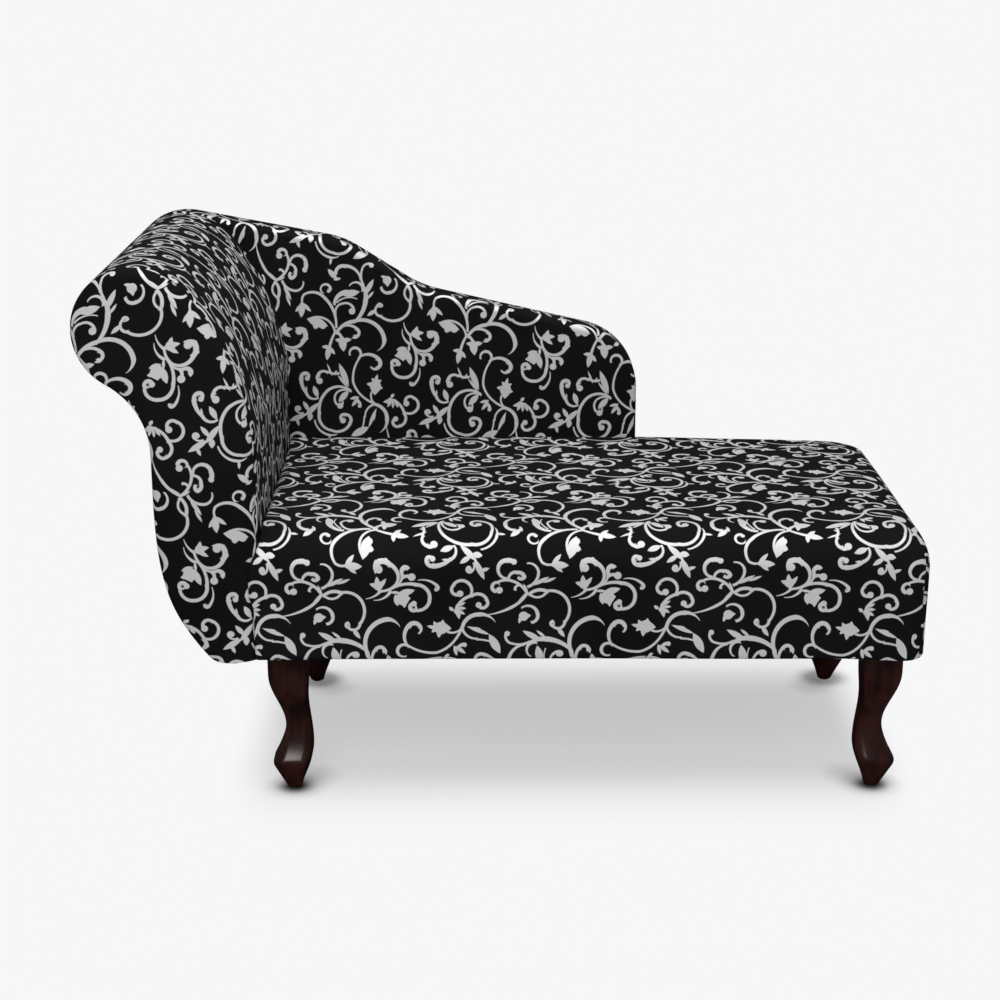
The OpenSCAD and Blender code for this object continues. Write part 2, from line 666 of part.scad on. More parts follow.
// Back timber: sawn members joined in one plane, with the scroll repeated in the left post
module back_sheet(d, low) { slab(back_outline(d, low), frame_front, frame_rear); }
module back_part(low, high) {
    intersection() {
        back_sheet(frame_inset, foam_in);
        box([low[0], frame_front - 1, low[1]], [high[0], frame_rear + 1, high[1]]);
    }
}
rail_low = back_low + member_w;
rail_high = head_top - waist_drop - member_w - 60;
module back_scroll_post() {
    placed() color("burlywood") difference() {
        back_part([roll_c[0] - roll_r, 0], [post_x, head_top]);
        back_screw_bores();
    }
}
module back_bottom_rail() {
    placed() color("burlywood") difference() {
        back_part([post_x, back_low - 1], [end_post_x, rail_low]);
        plate_screw_bores();
    }
}
module back_end_post() {
    placed() color("burlywood") difference() {
        back_part([end_post_x, 0], [back_len, head_top]);
        plate_screw_bores();
    }
}
module back_top_rail() {
    placed() color("burlywood") difference() {
        back_part([post_x, rail_low], [end_post_x, head_top]);
        slab(back_outline(frame_inset + member_w, 0), frame_front - 1, frame_rear + 1);
    }
}
module back_middle_post() {
    placed() color("burlywood") intersection() {
        slab(back_outline(frame_inset + member_w, 0), frame_front, frame_rear);
        box([middle_x - member_w / 2, 0, rail_low], [middle_x + member_w / 2, half_depth, head_top]);
    }
}
module back_front_board() {
    placed() color("peru") difference() {
        slab(back_outline(frame_inset, foam_in), frame_front - hardboard_t, frame_front);
        back_screw_bores();
    }
}
module back_foam() {
    placed() color("khaki") difference() {
        slab(back_outline(back_edge_r, foam_in), back_front + foam_in, frame_front - hardboard_t - fit);
        back_screw_bores();
    }
}
module back_edge_padding() {
    y0 = back_front + back_edge_r;
    placed() color("ivory") difference() {
        slab(back_outline(foam_in, foam_in), y0, frame_rear);
        slab(back_outline(frame_inset - fit, cover_t), y0 - 1, frame_rear + 1);
    }
}
module back_rear_padding() {
    placed() color("ivory")
        slab(back_outline(back_edge_r, foam_in), frame_rear + plate_t + fit, half_depth - foam_in);
}
seam_y = half_depth - back_edge_r;
module back_inside_cover() {
    placed() color([0.12, 0.12, 0.13]) difference() {
        tray(function (d, low) back_outline(d, low), back_front, seam_y - fit, back_edge_r);
        back_screw_bores();
        plates(fit);
    }
}
module back_outside_cover() {
    placed() color([0.12, 0.12, 0.13]) difference() {
        tray(function (d, low) back_outline(d, low), half_depth, seam_y, back_edge_r);
        plates(fit);
    }
}

// Steel plates that join the back to the seat's rear rail, and screws from the headrest
module plates(slack) {
    for (x = plate_x) {
        box([x - plate_w / 2 - slack, frame_rear - slack, deck - plate_len / 2],
            [x + plate_w / 2 + slack, frame_rear + plate_t + slack, deck + plate_len / 2]);
    }
}
module plate_screw_places(slack) {
    for (x = plate_x, z = plate_z) translate([x, frame_rear, deck + z]) rotate([-90, 0, 0]) {
        translate([0, 0, -plate_screw_len]) cylinder(h = plate_screw_len + plate_t, r = screw_r + slack, $fn = 32);
        cylinder(h = plate_t + slack, r1 = screw_r + slack, r2 = sunk_r + slack, $fn = 32);
    }
}
module plate_screw_bores() { plate_screw_places(thread_slack); }
module back_joining_plates() {
    placed() color("gray") difference() {
        plates(0);
        plate_screw_bores();
    }
}
module back_plate_screws() { placed() color("silver") plate_screw_places(0); }
back_screw_at = [[side_x + 50, belly_z - 60], [side_x + 50, belly_z + 30],
                 [roll_c[0] + 40, roll_c[1]], [roll_c[0] - 35, roll_c[1]]];
back_screw_len = frame_rear - boards_y[1] - 5;
module back_screws(start, r) {
    for (p = back_screw_at) along_y([p[0], boards_y[1] - start, p[1]], start + back_screw_len, r);
}
module back_screw_bores() { back_screws(1, screw_r + thread_slack); }
module back_headrest_screws() {
    placed() color("silver") {
        back_screws(0, screw_r);
        for (p = back_screw_at) along_y([p[0], boards_y[1] - pan_h, p[1]], pan_h, pan_r);
    }
}

seat_front_rail();
seat_rear_rail();
seat_left_rail();
seat_right_rail();
seat_cross_rail();
corner_block_front_left();
corner_block_front_right();
corner_block_rear_left();
corner_block_rear_right();
corner_block_screws();
leg_insert_nuts();
leg_hanger_bolts();
leg_front_left();
leg_front_right();
leg_rear_left();
leg_rear_right();
leg_glides();
cross_webbing();
long_webbing();
seat_border_padding();
seat_foam();
seat_cover();
dust_cover();
headrest_front_board();
headrest_rear_board();
headrest_bottom_rail();
headrest_seat_rail();
headrest_inner_rail();
headrest_side_rail();
headrest_roll_pole();
headrest_inside_board();
headrest_outside_board();
headrest_inside_foam();
headrest_outside_foam();
headrest_front_padding();
headrest_inside_cover();
headrest_outside_cover();
headrest_front_facing();
headrest_bolts();
headrest_bolt_nuts();
back_scroll_post();
back_top_rail();
back_bottom_rail();
back_middle_post();
back_end_post();
back_front_board();
back_foam();
back_edge_padding();
back_rear_padding();
back_inside_cover();
back_outside_cover();
back_joining_plates();
back_plate_screws();
back_headrest_screws();
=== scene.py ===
import math
import bmesh
import bpy
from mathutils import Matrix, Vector


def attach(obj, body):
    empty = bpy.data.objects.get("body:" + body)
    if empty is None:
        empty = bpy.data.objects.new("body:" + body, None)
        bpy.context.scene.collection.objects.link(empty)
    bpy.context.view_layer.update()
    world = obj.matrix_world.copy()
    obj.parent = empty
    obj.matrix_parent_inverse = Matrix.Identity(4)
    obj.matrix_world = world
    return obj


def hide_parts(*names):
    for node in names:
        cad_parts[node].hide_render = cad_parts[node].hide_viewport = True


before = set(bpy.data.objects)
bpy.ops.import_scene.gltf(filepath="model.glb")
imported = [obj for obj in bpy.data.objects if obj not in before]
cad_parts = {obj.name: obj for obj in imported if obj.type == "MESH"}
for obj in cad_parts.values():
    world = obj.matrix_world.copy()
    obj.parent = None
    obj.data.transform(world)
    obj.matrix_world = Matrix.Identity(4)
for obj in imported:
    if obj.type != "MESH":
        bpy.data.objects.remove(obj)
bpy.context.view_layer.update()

# ---------------------------------------------------------------------------------------------
# Studio: a pale floor that glows white for the camera, with a painted shadow under the seat in
# which its real shading shows in part, painted shadows at the feet and a painted dark reflection of
# the floor; a broad soft light from above and the front, and a long lens a little above the
# headrest, looking down at the front of the meridienne.
scene = bpy.context.scene
scene.view_settings.view_transform = "Standard"
lens_mm, sensor_mm = 71.4, 36.0
eye, look_down, look_right = (-0.0340, -2.5936, 1.1128), 16.65, 0.53


def add_object(name, data):
    made = bpy.data.objects.new(name, data)
    scene.collection.objects.link(made)
    return made


camera = add_object("camera", bpy.data.cameras.new("camera"))
camera.data.sensor_width, camera.data.lens = sensor_mm, lens_mm
camera.location = eye
camera.rotation_euler = (math.radians(90 - look_down), 0, math.radians(-look_right))
scene.camera = camera


def add_node(tree, kind, sockets=(), **settings):
    """New node in a tree. A socket gets a value or the link from another node's socket."""
    made = tree.nodes.new(kind)
    for name, value in settings.items():
        setattr(made, name, value)
    for name, value in dict(sockets).items():
        if isinstance(value, bpy.types.NodeSocket):
            tree.links.new(value, made.inputs[name])
        else:
            made.inputs[name].default_value = value
    return made


class Wire:
    """Output socket of a node. An operator on it adds a Math node or a Vector Math node."""

    def __init__(self, finish, socket):
        self.finish, self.socket = finish, socket

    def output(self, name):
        return Wire(self.finish, self.socket.node.outputs[name])

    def math(self, operation, *others):
        parts = (self, *others)
        on_vectors = any(isinstance(p, tuple) or isinstance(p, Wire) and p.socket.type == "VECTOR"
                         for p in parts)
        if on_vectors:
            parts = [(p, p, p) if isinstance(p, (int, float)) else p for p in parts]
        kind = "ShaderNodeVectorMath" if on_vectors else "ShaderNodeMath"
        result = "Value" if on_vectors and operation in ("DOT_PRODUCT", "LENGTH") else 0
        return self.finish.node(kind, dict(enumerate(parts)), result, operation=operation)

    def __add__(self, other): return self.math("ADD", other)
    def __sub__(self, other): return self.math("SUBTRACT", other)
    def __mul__(self, other): return self.math("MULTIPLY", other)


class Finish:
    """Material whose tree is filled by node(), which gives one output of the new node."""

    def __init__(self, name):
        self.material = bpy.data.materials.new(name)
        self.material.use_nodes = True
        self.tree = self.material.node_tree
        self.tree.nodes.clear()

    def node(self, kind, sockets=(), result=0, **settings):
        plain = {name: value.socket if isinstance(value, Wire) else value
                 for name, value in dict(sockets).items()}
        return Wire(self, add_node(self.tree, kind, plain, **settings).outputs[result])

    def shade(self, surface):
        add_node(self.tree, "ShaderNodeOutputMaterial", {"Surface": surface.socket})
        return self.material

    def paint(self, sockets):
        return self.shade(self.node("ShaderNodeBsdfPrincipled", sockets))

    def spot(self, stretch=(1, 1, 1)):
        """Object coordinates, stretched."""
        place = self.node("ShaderNodeTexCoord", result="Object")
        return self.node("ShaderNodeMapping", {"Vector": place, "Scale": stretch})

    def noise(self, where, scale, detail=3.0, roughness=0.5):
        return self.node("ShaderNodeTexNoise", {
            "Vector": where, "Scale": scale, "Detail": detail, "Roughness": roughness})

    def waves(self, where, scale, distortion, detail=2.0, **settings):
        return self.node("ShaderNodeTexWave", {
            "Vector": where, "Scale": scale, "Distortion": distortion, "Detail": detail},
            "Fac", **settings)

    def spread(self, value, low, high, to_low=0.0, to_high=1.0, kind="LINEAR"):
        return self.node("ShaderNodeMapRange", {
            "Value": value, "From Min": low, "From Max": high, "To Min": to_low,
            "To Max": to_high}, interpolation_type=kind, clamp=True)

    def ease(self, value, low, high, to_low=0.0):
        return self.spread(value, low, high, to_low, kind="SMOOTHSTEP")

    def blend(self, factor, a, b):
        return self.node("ShaderNodeMix", {0: factor, 6: a, 7: b}, 2, data_type="RGBA")

    def bump(self, height, strength, distance):
        return self.node("ShaderNodeBump", {
            "Height": height, "Strength": strength, "Distance": distance})


floor_half, floor_behind = 6.0, 10.0
white, full_white = (0.93, 0.93, 0.93, 1), (1, 1, 1, 1)
# Painted shadow under the seat: in a rounded box about the footprint the floor's white glow falls
# to about half and its real diffuse shading shows; this shadow is partly real and partly painted.
shade_centre, shade_half = (0.085, -0.004, 0.0), (0.375, 0.119, 1.0)
shade_fade, shade_sharpness, shade_least = 0.24, (2.6, 1.0, 1.0), 0.53
# Painted shadows at the feet: where the feet stand, and how far the dark patch at each foot and the
# band behind it are moved from them.
foot_centre, foot_apart = (0.0985, 0.0, 0.0), (0.381, 0.188, 0.0)
painted_foot_shadow_shift, painted_shadow_behind_shift = (0.001, -0.002, 0.0), (0.024, 0.030, 0.0)
rear_near, painted_foot_shadow_at_rear, matt_white, painted_dark_reflection = 0.35, 0.40, 0.80, 0.03
fill_strength, dim_strength = 0.42, 0.09
studio = Finish("studio_floor")
on_floor = studio.spot()
beyond = (on_floor - shade_centre).math("ABSOLUTE") - shade_half
reach = (beyond.math("MAXIMUM", (0.0, 0.0, 0.0)) * shade_sharpness).math("LENGTH")
feet = (on_floor - foot_centre).math("ABSOLUTE") - foot_apart
touching = (feet + painted_foot_shadow_shift).math("LENGTH")
rearward = studio.spread(on_floor.math("DOT_PRODUCT", (0.0, 1.0, 0.0)), -0.05, 0.05)
# Near the feet the floor's glow gives way, so that its real shading shows, less so at the rear.
near_foot = studio.ease(touching, 0.008, 0.050).math("MAXIMUM", rearward * rear_near)
# Painted contact shadow: the floor's colour darkened to a tenth at each foot, only to four tenths
# at the rear feet.
painted_foot_shadow = studio.ease(touching, 0.006, 0.032, 0.10).math("MAXIMUM", rearward * painted_foot_shadow_at_rear)
# Painted shadow behind the front feet and in front of the rear ones, on the floor's colour and on
# its glow.
painted_shadow_behind_foot = studio.ease((feet + painted_shadow_behind_shift).math("LENGTH"), 0.0, 0.048, 0.74)
# Share of the floor's white glow for the camera, low in the painted shadow under the seat and near
# the feet.
glow_outside_painted_shadows = near_foot * studio.ease(reach, 0.0, shade_fade, shade_least)
mirrored = studio.node("ShaderNodeLightPath", result="Is Glossy Ray")
seen = studio.node("ShaderNodeLightPath", result="Is Camera Ray")
# The floor's colour is painted near black for reflected rays, so that its reflections are dark.
matt = studio.node("ShaderNodeBsdfDiffuse", {
    "Color": studio.spread(mirrored, 0.0, 1.0, matt_white, painted_dark_reflection) * painted_foot_shadow * painted_shadow_behind_foot})
bright = studio.node("ShaderNodeEmission", {"Color": painted_shadow_behind_foot * white[0]})
studio.shade(studio.node("ShaderNodeMixShader", {0: glow_outside_painted_shadows * seen, 1: matt, 2: bright}))
floor_mesh = bpy.data.meshes.new("studio_floor")
floor_mesh.from_pydata([(x, y, 0) for x, y in (
    (-floor_half, -floor_half), (floor_half, -floor_half), (floor_half, floor_behind),
    (-floor_half, floor_behind))], [], [(0, 1, 2, 3)])
floor_mesh.materials.append(studio.material)
add_object("studio_floor", floor_mesh)

world = bpy.data.worlds.new("studio_air")
world.use_nodes = True
air = world.node_tree
air.nodes.clear()
ray = add_node(air, "ShaderNodeLightPath").outputs
fill_light, dim_light, white_light = (
    add_node(air, "ShaderNodeBackground", {"Color": colour, "Strength": strength}).outputs[0]
    for colour, strength in ((full_white, fill_strength), (full_white, dim_strength), (white, 1.0)))
by_gloss = add_node(air, "ShaderNodeMixShader", {
    0: ray["Is Glossy Ray"], 1: fill_light, 2: dim_light})
by_camera = add_node(air, "ShaderNodeMixShader", {
    0: ray["Is Camera Ray"], 1: by_gloss.outputs[0], 2: white_light})
add_node(air, "ShaderNodeOutputWorld", {"Surface": by_camera.outputs[0]})
scene.world = world


def softbox(name, place, target, side, watts):
    light = bpy.data.lights.new(name, "AREA")
    light.shape, light.size, light.energy = "SQUARE", side, watts
    lamp = add_object(name, light)
    lamp.location = place
    lamp.rotation_euler = (Vector(target) - Vector(place)).to_track_quat("-Z", "Y").to_euler()


softbox("overhead_softbox", place=(0.1, -0.5, 3.0), target=(0, 0, 0.3), side=2.6, watts=64)
softbox("front_softbox", place=(-0.6, -2.85, 2.3), target=(0, 0, 0.35), side=1.3, watts=34)

# ---------------------------------------------------------------------------------------------
# Timber frame: beech rails, posts and sawn scroll boards on stub tenons, with pine corner blocks
# glued and screwed inside. The nodes stay as they are and get end grain and growth rings.
rail_nodes = ("seat_front_rail", "seat_rear_rail", "seat_left_rail", "seat_right_rail",
              "seat_cross_rail", "headrest_bottom_rail", "headrest_seat_rail",
              "headrest_inner_rail", "headrest_side_rail", "headrest_roll_pole",
              "back_top_rail", "back_bottom_rail", "back_middle_post", "back_end_post",
              "back_scroll_post", "headrest_front_board", "headrest_rear_board")
block_nodes = ("corner_block_front_left", "corner_block_front_right",
               "corner_block_rear_left", "corner_block_rear_right")


def sawn_timber(name, pale_ring, dark_ring, stretch, rings):
    finish = Finish(name)
    where = finish.spot(stretch)
    wander = finish.noise(where, 3.0, 2.0)
    grain = finish.waves(where, rings, 5.0, wave_type="RINGS", rings_direction="SPHERICAL")
    fibre = finish.noise(finish.spot((stretch[0] * 14, stretch[1] * 60, 700)), 1.0)
    tone = finish.spread(grain * 0.55 + fibre * 0.30 + wander * 0.25, 0.25, 0.85)
    return finish.paint({
        "Base Color": finish.blend(tone, pale_ring, dark_ring),
        "Roughness": finish.spread(fibre, 0.2, 0.8, 0.52, 0.72),
        "Normal": finish.bump(fibre, 0.25, 0.0004)})


def refinish(material, *nodes):
    """Gives CAD nodes, which stay as they are, a better material."""
    for node in nodes:
        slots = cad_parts[node].data.materials
        slots.clear()
        slots.append(material)


refinish(sawn_timber("beech_rail", (0.56, 0.36, 0.20, 1), (0.36, 0.20, 0.10, 1), (1, 7, 7), 9.0),
         *rail_nodes)
refinish(sawn_timber("pine_block", (0.66, 0.47, 0.27, 1), (0.42, 0.24, 0.11, 1), (5, 5, 1), 14.0),
         *block_nodes)

# ---------------------------------------------------------------------------------------------
# Hardboard panels: 3 mm brown board pinned inside and outside the headrest and on the front of
# the back. The nodes stay and get the short fibres and fine speckle of pressed board.
hardboard = Finish("pressed_hardboard")
fibres = hardboard.noise(hardboard.spot(), 420.0, 4.0, 0.65)
mottle = hardboard.noise(hardboard.spot(), 26.0, 2.0)
refinish(hardboard.paint({
    "Base Color": hardboard.blend(fibres * 0.7 + mottle * 0.3,
                                  (0.15, 0.075, 0.035, 1), (0.33, 0.19, 0.10, 1)),
    "Roughness": hardboard.spread(mottle, 0.3, 0.7, 0.42, 0.60),
    "Normal": hardboard.bump(fibres, 0.20, 0.0003)}),
    "headrest_inside_board", "headrest_outside_board", "back_front_board")

# ---------------------------------------------------------------------------------------------
# Fixings: zinc-plated screws, bolts, nuts and plates, brass inserts in the corner blocks and
# pressed steel glides. The nodes stay, with rolled marks and a thin worn film on the metal.
def fixing_metal(name, bright_metal, dull_metal, least_rough, most_rough):
    finish = Finish(name)
    film = finish.noise(finish.spot(), 160.0, 4.0, 0.6)
    rolled = finish.noise(finish.spot((1, 1, 30)), 220.0, 2.0)
    return finish.paint({
        "Base Color": finish.blend(film, bright_metal, dull_metal), "Metallic": 1.0,
        "Roughness": finish.spread(film * 0.6 + rolled * 0.4, 0.3, 0.7, least_rough, most_rough),
        "Normal": finish.bump(rolled, 0.12, 0.0002)})


refinish(fixing_metal("zinc_plate", (0.70, 0.71, 0.72, 1), (0.52, 0.53, 0.50, 1), 0.25, 0.45),
         "corner_block_screws", "leg_hanger_bolts", "headrest_bolts", "headrest_bolt_nuts",
         "back_joining_plates", "back_plate_screws", "back_headrest_screws")
refinish(fixing_metal("insert_brass", (0.74, 0.56, 0.26, 1), (0.48, 0.34, 0.15, 1), 0.28, 0.48),
         "leg_insert_nuts")
refinish(fixing_metal("glide_steel", (0.46, 0.46, 0.47, 1), (0.25, 0.25, 0.26, 1), 0.30, 0.55),
         "leg_glides")

# ---------------------------------------------------------------------------------------------
# Legs: four cabriole legs in dark mahogany, sawn to one S-curve on both outer faces, with eased
# edges, a bored top for the hanger bolt and a polished, lightly worn finish.
mm = 0.001
joint_x = -313.5
seat_len, half_depth, leg_height = 840.0, 250.0, 200.0
leg_block, knee_h, neck_h, toe_h, heel_h = 51.0, 165.0, 89.0, 41.0, 58.0
toe_out, neck_out, heel_in, sole_w, round_foot, round_top = 24.5, 6.0, 29.0, 18.0, 0.30, 0.17
toe_curve, heel_start, leg_top_gap, round_top_h = 1.6, 0.15, 0.3, 190.0
corner_steps, blur_heights, sole_blur = 7, (-5, -3, -1, 1, 3, 5), 5.0
glide_t, nail_r, nail_len, bolt_in, bolt_bore_r, bolt_bite = 3.0, 1.3, 12.0, 15.0, 4.1, 45.0
leg_places = {"leg_front_left": (28.0, -191.0, -1, -1), "leg_front_right": (796.0, -191.0, 1, -1),
              "leg_rear_left": (28.0, 191.0, -1, 1), "leg_rear_right": (796.0, 191.0, 1, 1)}
leg_rows = 72


def lerp(a, b, t):
    return a + (b - a) * t


def smooth(t):
    t = min(1.0, max(0.0, t))
    return t * t * (3 - 2 * t)


def ramp(value, start, end):
    """Eased rise from 0 at start to 1 at end."""
    return smooth((value - start) / (end - start))


def polar(centre, radius, degrees):
    turn = math.radians(degrees)
    return centre[0] + radius * math.cos(turn), centre[1] + radius * math.sin(turn)


def bow(centre, radius, start, end, steps):
    return [polar(centre, radius, lerp(start, end, i / steps)) for i in range(steps + 1)]


def leg_out(z):
    half = leg_block / 2
    if z > knee_h:
        return half
    if z > neck_h:
        return lerp(neck_out, half, ramp(z, neck_h, knee_h))
    if z > toe_h:
        return lerp(neck_out, toe_out, ((neck_h - z) / (neck_h - toe_h)) ** toe_curve)
    return lerp(neck_out, toe_out, (z - glide_t) / (toe_h - glide_t))


def leg_in(z):
    half = leg_block / 2
    waist_in, waist_h = half - 2, (neck_h + knee_h) / 2
    if z > knee_h:
        return half
    if z > waist_h:
        return lerp(waist_in, half, ramp(z, waist_h, knee_h))
    if z > heel_h:
        return lerp(heel_in, waist_in, ramp(z, heel_h, waist_h))
    return lerp(sole_w - neck_out, heel_in,
                smooth(lerp(heel_start, 1.0, (z - glide_t) / (heel_h - glide_t))))


def leg_section(z):
    """Square with soft corners at the top, rounder at the foot; its sides are averaged over some
    millimetres of height, so that no edge is hard."""
    near_sole = min(1.0, (z - glide_t) / sole_blur)
    heights = [min(leg_height, z + d * near_sole) for d in blur_heights]
    a = -sum(leg_in(h) for h in heights) / len(heights)
    b = sum(leg_out(h) for h in heights) / len(heights)
    r = (b - a) * lerp(round_foot, round_top, ramp(z, heel_h, round_top_h))
    low, high = a + r, b - r
    return [point for x, y, start in ((high, high, 90), (high, low, 0), (low, low, -90),
                                      (low, high, -180))
            for point in bow((x, y), r, start, start - 90, corner_steps)]


def piece(name, points, faces, material, flat_uv=None, smooth_angle=40):
    """Object in the CAD frame from points in millimetres from the joint of headrest and seat."""
    mesh = bpy.data.meshes.new(name)
    mesh.from_pydata([((x + joint_x) * mm, y * mm, z * mm) for x, y, z in points], [], faces)
    if flat_uv:
        layer = mesh.uv_layers.new(name="cloth")
        for face, corners in zip(mesh.polygons, flat_uv):
            for loop, corner in zip(face.loop_indices, corners):
                layer.data[loop].uv = (corner[0] * mm, corner[1] * mm)
    mesh.materials.append(material)
    mesh.validate()
    mesh.shade_smooth()
    mesh.set_sharp_from_angle(angle=math.radians(smooth_angle))
    return add_object(name, mesh)


def settle(made, slot, *nodes, fill=None):
    """Puts a piece on the one body, in the place of its CAD nodes; the slot is not used."""
    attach(made, "root")
    if nodes:
        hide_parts(*nodes)
    return made


def at_height(z, ring):
    return [(x, y, z) for x, y in ring]


def ring_bands(rings):
    """Quads that join closed rings of equally many points."""
    n = len(rings[0])
    return [(k * n + i, k * n + (i + 1) % n, (k + 1) * n + (i + 1) % n, (k + 1) * n + i)
            for k in range(len(rings) - 1) for i in range(n)]


def closed_shape(rings):
    """Points and faces of rings that are joined one to the next and closed at both ends."""
    n, last = len(rings[0]), len(rings[0]) * (len(rings) - 1)
    return ([p for ring in rings for p in ring],
            ring_bands(rings) + [tuple(range(n))[::-1], tuple(range(last, last + n))])


def together(shapes):
    points, faces = [], []
    for own_points, own_faces in shapes:
        faces += [tuple(len(points) + i for i in face) for face in own_faces]
        points += own_points
    return points, faces


mahogany = Finish("mahogany_polish")
figure = mahogany.noise(mahogany.spot((34, 34, 3.2)), 2.2, 5.0, 0.62)
pores = mahogany.noise(mahogany.spot((900, 900, 60)), 1.0, 2.0)
cloud = mahogany.noise(mahogany.spot(), 18.0, 2.0)
wood = mahogany.blend(mahogany.spread(figure * 0.6 + cloud * 0.4, 0.34, 0.68),
                      (0.0046, 0.0021, 0.0021, 1), (0.0500, 0.0110, 0.0080, 1))
wood = mahogany.blend(mahogany.spread(pores, 0.60, 0.72, 0.0, 0.6), wood,
                      (0.0030, 0.0013, 0.0010, 1))
mahogany.paint({
    "Base Color": wood, "Roughness": mahogany.spread(cloud, 0.35, 0.65, 0.20, 0.34),
    "Specular IOR Level": 0.30, "Coat Weight": 0.48, "Coat Roughness": 0.18,
    "Normal": mahogany.bump(pores, 0.05, 0.0002)})

per_section = len(leg_section(toe_h))
leg_top, sole_mid = leg_height - leg_top_gap, neck_out - sole_w / 2
nail_hole, bolt_hole = (bow((middle, middle), r, 90, 90 - 360 * (per_section - 1) / per_section,
                            per_section - 1)
                        for middle, r in ((sole_mid, nail_r), (-bolt_in, bolt_bore_r)))
leg_levels = [lerp(glide_t, leg_top, i / leg_rows) for i in range(leg_rows + 1)]
leg_points, leg_faces = closed_shape(
    [at_height(glide_t + nail_len + 1, nail_hole), at_height(glide_t, nail_hole)]
    + [at_height(z, leg_section(z)) for z in leg_levels]
    + [at_height(leg_top, bolt_hole), at_height(leg_top - bolt_bite - 1, bolt_hole)])
for leg_name, (leg_x, leg_y, sx, sy) in leg_places.items():
    leg = piece(leg_name + "_carved",
                [(leg_x + sx * x, leg_y + sy * y, z) for x, y, z in leg_points],
                [face[::-1] for face in leg_faces] if sx * sy > 0 else leg_faces,
                mahogany.material, smooth_angle=50)
    settle(leg, "leg_mahogany", leg_name)

# ---------------------------------------------------------------------------------------------
# Webbing: jute straps tacked from rail to rail across the seat frame, with three straps along
# the seat on top of them. Each strap is a thin woven band with a bound edge.
rail_t, rail_top, timber_z = 22.0, 297.3, 202.3
seat_box_len = seat_len - 9
timber_end = seat_box_len - 13
strap_w, strap_t, strap_lift = 50.0, 1.5, 1.8
cross_straps, long_straps, strap_rows = 7, 3, 5
frame_front, back_front = 217.4, 200.0
strap_edge = [(-1, 0), (-0.985, 0.8), (-0.94, 1), (0.94, 1), (0.985, 0.8), (1, 0),
              (0.985, -0.8), (0.94, -1), (-0.94, -1), (-0.985, -0.8)]

jute = Finish("jute_webbing")
plain_weave = (jute.waves(jute.spot(), 190.0, 0.6, bands_direction="X", wave_profile="SIN")
               * jute.waves(jute.spot(), 190.0, 0.6, bands_direction="Y", wave_profile="SIN"))
slub = jute.noise(jute.spot(), 300.0)
jute.paint({
    "Base Color": jute.blend(plain_weave * 0.6 + slub * 0.4,
                             (0.19, 0.12, 0.06, 1), (0.46, 0.33, 0.19, 1)),
    "Roughness": jute.spread(slub, 0.3, 0.7, 0.75, 0.92),
    "Normal": jute.bump(plain_weave, 0.5, 0.0006)})


def strap(start, end, middle, z, along_x):
    """Flat band with rounded long edges."""
    rings = []
    for k in range(strap_rows + 1):
        at = lerp(start, end, k / strap_rows)
        ring = [(at, middle + s * strap_w / 2, z + (1 + t) * strap_t / 2) for s, t in strap_edge]
        rings.append(ring if along_x else [(y, x, z) for x, y, z in ring[::-1]])
    return closed_shape(rings)


def strap_set(name, node, straps):
    settle(piece(name, *together(straps), jute.material), "webbing", node)


cross_pitch = (timber_end - rail_t) / (cross_straps + 1)
strap_set("cross_webbing_straps", "cross_webbing", [
    strap(-frame_front - rail_t / 2, frame_front + rail_t / 2, rail_t / 2 + i * cross_pitch,
          rail_top, False) for i in range(1, cross_straps + 1)])
span = 2 * (back_front - 20)
strap_set("long_webbing_straps", "long_webbing", [
    strap(rail_t / 2, timber_end - rail_t / 2, -span / 2 + i * span / (long_straps + 1),
          rail_top + strap_lift, True) for i in range(1, long_straps + 1)])

# ---------------------------------------------------------------------------------------------
# Dust cover: one sheet of black non-woven cloth drawn tight below the seat frame and stapled
# along its edge, with four holes for the hanger bolts of the legs.
hem_w, fit, dust_t = 21.0, 0.3, 1.2
dust_low = (rail_t / 2, hem_w + fit - half_depth)
dust_high = (seat_box_len - hem_w - fit, half_depth - hem_w - fit)
dust_columns, dust_rows = 64, 36
hole_r, hole_points, hole_reach = 4.3, 24, 4.0
staple_crown, staple_wire, staple_in, staple_pitch, staple_wander = 11.0, 0.9, 7.0, 34.0, 0.08

nonwoven = Finish("nonwoven_dust_cloth")
fuzz = nonwoven.noise(nonwoven.spot(), 900.0, 3.0, 0.7)
dimple = nonwoven.node("ShaderNodeTexVoronoi", {
    "Vector": nonwoven.spot(), "Scale": 420.0, "Randomness": 0.15}, "Distance", feature="F1")
nonwoven.paint({
    "Base Color": nonwoven.blend(nonwoven.spread(fuzz, 0.35, 0.75), (0.010, 0.010, 0.011, 1),
                                 (0.030, 0.030, 0.032, 1)),
    "Roughness": nonwoven.spread(fuzz, 0.3, 0.7, 0.80, 0.95),
    "Normal": nonwoven.bump(dimple, 0.35, 0.0005)})


def open_bands(count, rows):
    """Quads of an open grid of points, row after row."""
    return [(j * count + i, (j + 1) * count + i, (j + 1) * count + i + 1, j * count + i + 1)
            for j in range(rows - 1) for i in range(count - 1)]


def finished_mesh(made):
    """Applies the object's modifiers and leaves a plain mesh."""
    graph = bpy.context.evaluated_depsgraph_get()
    plain = bpy.data.meshes.new_from_object(made.evaluated_get(graph))
    made.modifiers.clear()
    made.data = plain


def thicken(made, thickness, even=False):
    wall = made.modifiers.new("wall", "SOLIDIFY")
    wall.thickness, wall.offset, wall.use_even_offset = thickness * mm, -1, even
    finished_mesh(made)


def cut_out(made, points, faces):
    """Takes the closed shape given by points and faces out of a piece."""
    cutter = piece(made.name + "_cutter", points, faces, made.data.materials[0])
    hole = made.modifiers.new("hole", "BOOLEAN")
    hole.operation, hole.solver, hole.object = "DIFFERENCE", "EXACT", cutter
    finished_mesh(made)
    bpy.data.objects.remove(cutter)


